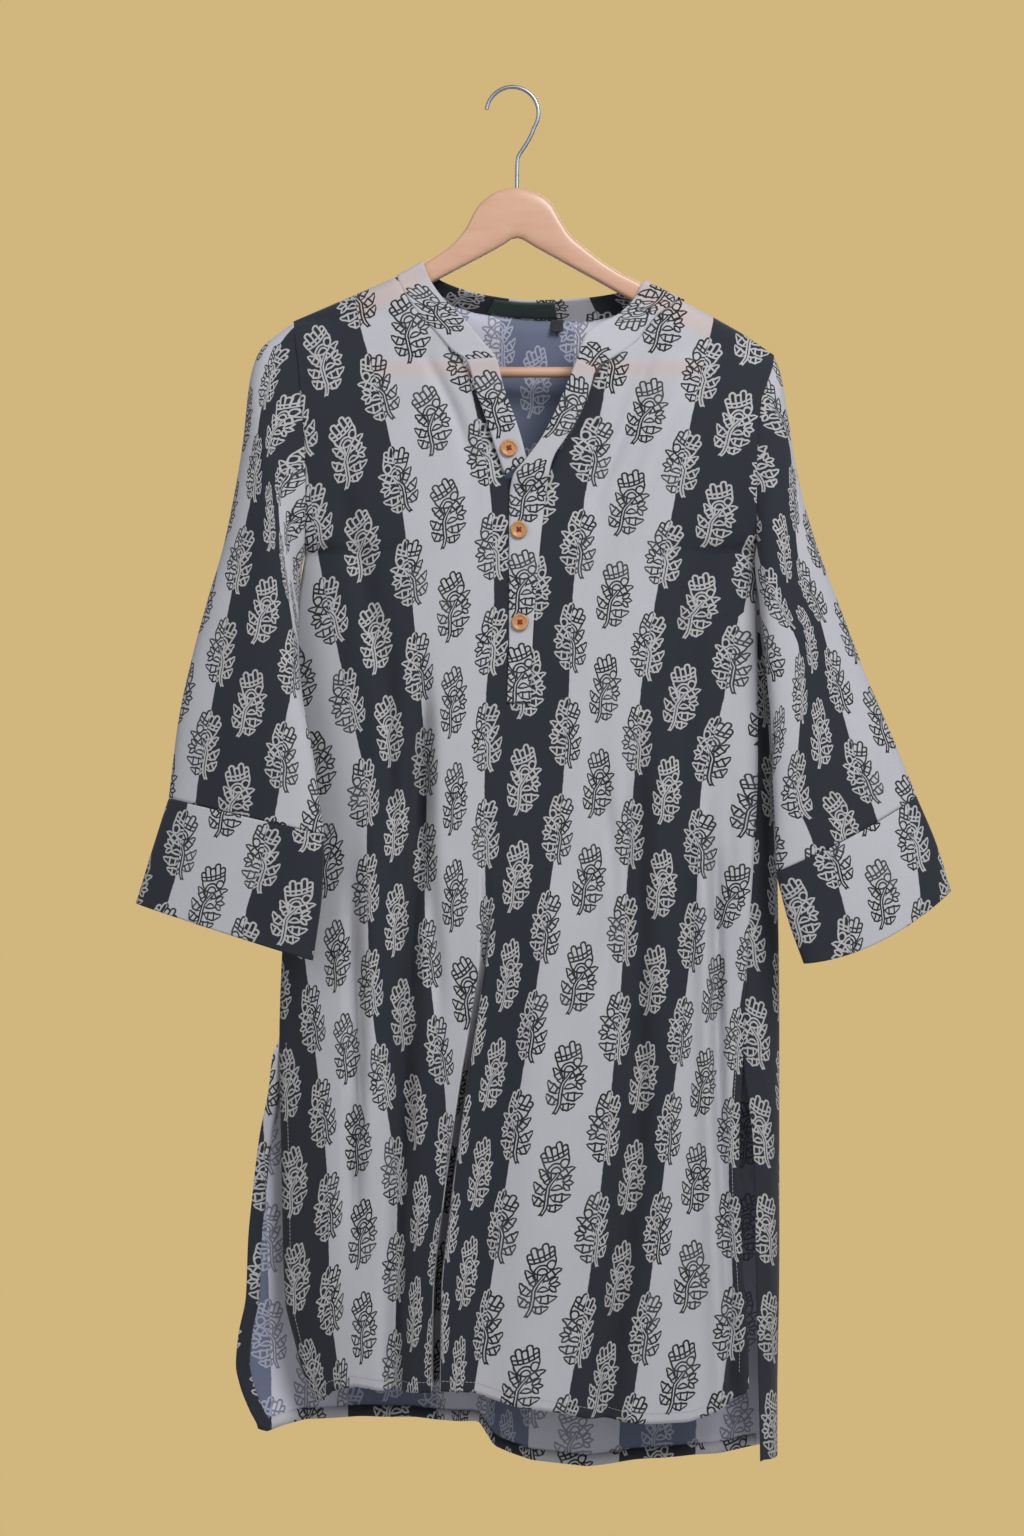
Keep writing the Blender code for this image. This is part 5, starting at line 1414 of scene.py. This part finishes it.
def stitches(name, lines, material):
    """Small flat stitches along lines of points, each just proud of the cloth."""
    verts, faces = [], []
    for line in lines:
        length = lengths_along(line)
        for start in np.arange(0.0, length[-1] - STITCH, STITCH + STITCH_GAP):
            a, b = (
                Vector([float(np.interp(at, length, line[:, k])) for k in range(3)])
                for at in (start, start + STITCH)
            )
            along = (b - a).normalized()
            out = Vector((0.0, -1.0, 0.0))
            wide = along.cross(out).normalized() * THREAD_HALF
            first = len(verts)
            for at, lift in ((a, STITCH_LOW), (a.lerp(b, 0.5), STITCH_HIGH), (b, STITCH_LOW)):
                crest = at + out * (lift + THREAD_HALF)
                verts += [at - wide + out * lift, crest, at + wide + out * lift]
            for k in (0, 3):
                n = first + k
                faces += [(n, n + 1, n + 4, n + 3), (n + 1, n + 2, n + 5, n + 4)]
    obj = new_mesh(name, verts, faces, [material])
    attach(obj, "root")
    return obj


def front_line(u, z):
    """Points on the front's outer face."""
    u, z = np.broadcast_arrays(np.asarray(u, float), np.asarray(z, float))
    return np.stack([front_x(u, z), front_y(front_x(u, z), z, u), z], axis=-1)


def front_hem_line():
    u = np.linspace(-0.318, 0.288, 700)
    z = np.full(u.shape, -1.14)
    for _ in range(60):
        z = mix(z, np.interp(front_x(u, z), column_of(FRONT_HEM, 0), column_of(FRONT_HEM, 1)), 0.5)
    return front_line(u, z + HEM_WIDTH)


down = np.linspace(SLIT_Z, -1.125, 260)
slit_left = front_line(curve(FRONT_EDGE, 2, down) + HEM_WIDTH, down)
slit_right = front_line(curve(FRONT_EDGE, 4, down) - HEM_WIDTH, down)
hem_stitches = stitches("hem_stitches", [front_hem_line(), slit_left, slit_right], pale_thread)


# The buttons: turned discs of polished coconut shell with a rounded rim and a dished middle,
# each sewn through its four holes with red thread that crosses over the front.
#                 radius  height
BUTTON_PROFILE = (
    (0.0000, 0.0000), (0.0066, 0.0000), (0.0073, 0.0005), (0.0075, 0.0012), (0.0073, 0.0019),
    (0.0067, 0.0024), (0.0060, 0.0024), (0.0054, 0.0020), (0.0049, 0.0016), (0.0042, 0.0015),
    (0.0000, 0.0015),
)
BUTTON_SIDES = 40
BUTTON_WELD = 0.00001
HOLE_OUT = 0.0021
HOLE_R = 0.00080
HOLE_SIDES = 16
HOLE_LIFT = 0.00153
STRAND_R = 0.00048
STRAND_APART = 0.00050
STRAND_RISE = 0.00034
STRAND_LIFT = 0.00012


def make_coconut():
    material, start, shader = finish_of("polished_coconut_shell")
    place = start.node("ShaderNodeTexCoord", pick=3)
    streak = start.node("ShaderNodeMapping", {"Vector": place, "Scale": (700.0, 700.0, 220.0)})
    streaks = start.node("ShaderNodeTexNoise", {"Vector": streak, "Scale": 1.0, "Detail": 4.0})
    tone = streaks.step(0.30, 0.72).blend((0.50, 0.225, 0.075, 1.0), (0.66, 0.36, 0.15, 1.0))
    height = start.node("ShaderNodeBump", {"Height": streaks, "Strength": 0.08, "Distance": 0.0003})
    feed(shader, Base_Color=tone, Normal=height, Roughness=0.36)
    feed(shader, Coat_Weight=0.3, Coat_Roughness=0.2)
    return material


coconut = make_coconut()
hole_dark, hole_start, hole_shader = finish_of("button_hole_shadow")
hole_noise = hole_start.node("ShaderNodeTexNoise", {"Scale": 900.0, "Detail": 2.0})
hole_color = hole_noise.blend((0.035, 0.012, 0.006, 1.0), (0.075, 0.028, 0.012, 1.0))
feed(hole_shader, Base_Color=hole_color, Roughness=0.8)
red_thread = make_thread("red_cotton_thread", (0.36, 0.035, 0.022, 1.0))


def make_button(node, turn):
    """A turned button in its place on the placket, with the thread through it."""
    low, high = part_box(node)
    middle = Vector((0.5 * (low.x + high.x), high.y, 0.5 * (low.z + high.z)))
    verts = []
    for radius, height in BUTTON_PROFILE:
        verts += ring(middle - Vector((0.0, height, 0.0)), radius, BUTTON_SIDES)
    faces = strip_faces(len(BUTTON_PROFILE), BUTTON_SIDES, True, False)
    body = new_mesh(node + "_shell", verts, faces, [coconut])
    face_outward(body, weld=BUTTON_WELD)
    corners, holes, rims = [], [], []
    for k in range(4):
        a = turn + math.pi * (0.25 + 0.5 * k)
        out = Vector((HOLE_OUT * math.cos(a), -HOLE_LIFT, HOLE_OUT * math.sin(a)))
        corners.append(middle + out)
        rims.append(tuple(range(len(holes), len(holes) + HOLE_SIDES)))
        holes += ring(corners[-1], HOLE_R, HOLE_SIDES)
    wells = new_mesh(node + "_holes", holes, rims, [hole_dark], smooth=False)
    strands = []
    for lane in (0, 1):
        a, b = corners[lane], corners[lane + 2]
        across = (b - a).normalized().cross(Vector((0.0, 1.0, 0.0))) * STRAND_APART
        for side_way in (-1.0, 1.0):
            line = []
            for f in np.linspace(0.0, 1.0, 9):
                lift = STRAND_RISE * (1 + lane) * math.sin(math.pi * f) + STRAND_LIFT
                line.append(a.lerp(b, f) + across * side_way + Vector((0.0, -lift, 0.0)))
            name = "%s_thread_%d" % (node, len(strands) + 1)
            strands.append(rod(name, line, STRAND_R, red_thread, sides=8))
    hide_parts(node)
    for piece in [body, wells] + strands:
        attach(piece, "root")


make_button("button_1", 0.15)
make_button("button_2", 0.0)
make_button("button_3", 0.05)


# The labels inside the neck: a dark green woven one, sewn flat to the inner face of the neck
# band, and a small black tab caught in the band's seam under its end. Both are plain.
LABEL_LIFT = 0.0024
BAND_DEEP = 0.022
TAB_LEAN = 0.78
TAB_CLEAR = 0.0042
LABEL_WALL = 0.0005
RIB_WIDE = 0.7
RIB_CROSS = 0.5


def make_ribbon(name, color, thread_color):
    """Close ribbed satin of two yarns."""
    material, start, shader = finish_of(name)
    where = start.node("ShaderNodeUVMap", uv_map="Weave").vector("SCALE", scale=1000.0)
    split = start.node("ShaderNodeSeparateXYZ", {0: where})
    rib = start.math("SINE", (split + split.other("Y")) * (2.0 * math.pi / RIB_WIDE))
    cross = start.math("SINE", split.other("Y") * (2.0 * math.pi / RIB_CROSS))
    tone = (rib * 0.5 + 0.5).blend(color, thread_color)
    relief = {"Height": rib + cross, "Strength": 0.25, "Distance": 0.0002}
    height = start.node("ShaderNodeBump", relief)
    feed(shader, Base_Color=tone, Normal=height, Roughness=0.62, Sheen_Weight=0.15)
    return material


def make_label(name, node, rows, first, last, low, high, material):
    """A label on rows of the band, from low to high across it; below 0 it hangs free."""
    p = np.linspace(first, last, rows)[:, np.newaxis]
    f = np.linspace(low, high, 7)[np.newaxis]
    p, f = np.broadcast_arrays(p, f)
    grid = band_point(p, f)
    face = np.cross(np.gradient(grid, axis=0), np.gradient(grid, axis=1))
    face /= np.linalg.norm(face, axis=2)[..., np.newaxis]
    face *= np.where(face[..., 1:2] > 0.0, -1.0, 1.0)
    drop = np.maximum(0.0, -f) * BAND_DEEP
    grid = band_point(p, np.maximum(f, 0.0)) + face * LABEL_LIFT
    grid[..., 1] -= TAB_LEAN * drop + np.minimum(1.5 * drop, TAB_CLEAR)
    grid[..., 2] -= drop
    length = lengths_along(grid[:, 3])[:, np.newaxis] + 0.0 * f
    wide = np.linalg.norm(grid[:, -1] - grid[:, 0], axis=1)[:, np.newaxis]
    places = np.stack([length, (f - low) / (high - low) * wide], axis=-1)
    label = cloth(name, grid, places, [material, material], flip=True, wall=LABEL_WALL)
    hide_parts(node)
    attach(label, "root")


green_ribbon = make_ribbon(
    "green_woven_label", (0.012, 0.034, 0.026, 1.0), (0.030, 0.062, 0.048, 1.0),
)
black_ribbon = make_ribbon(
    "black_woven_tab", (0.010, 0.011, 0.014, 1.0), (0.024, 0.025, 0.030, 1.0),
)
make_label(
    "neck_label_ribbon", "neck_label", 40, 15.2, 16.45, 0.10, 0.92, green_ribbon,
)
make_label(
    "size_tab_ribbon", "size_tab", 10, 16.34, 16.54, -0.48, 0.08, black_ribbon,
)
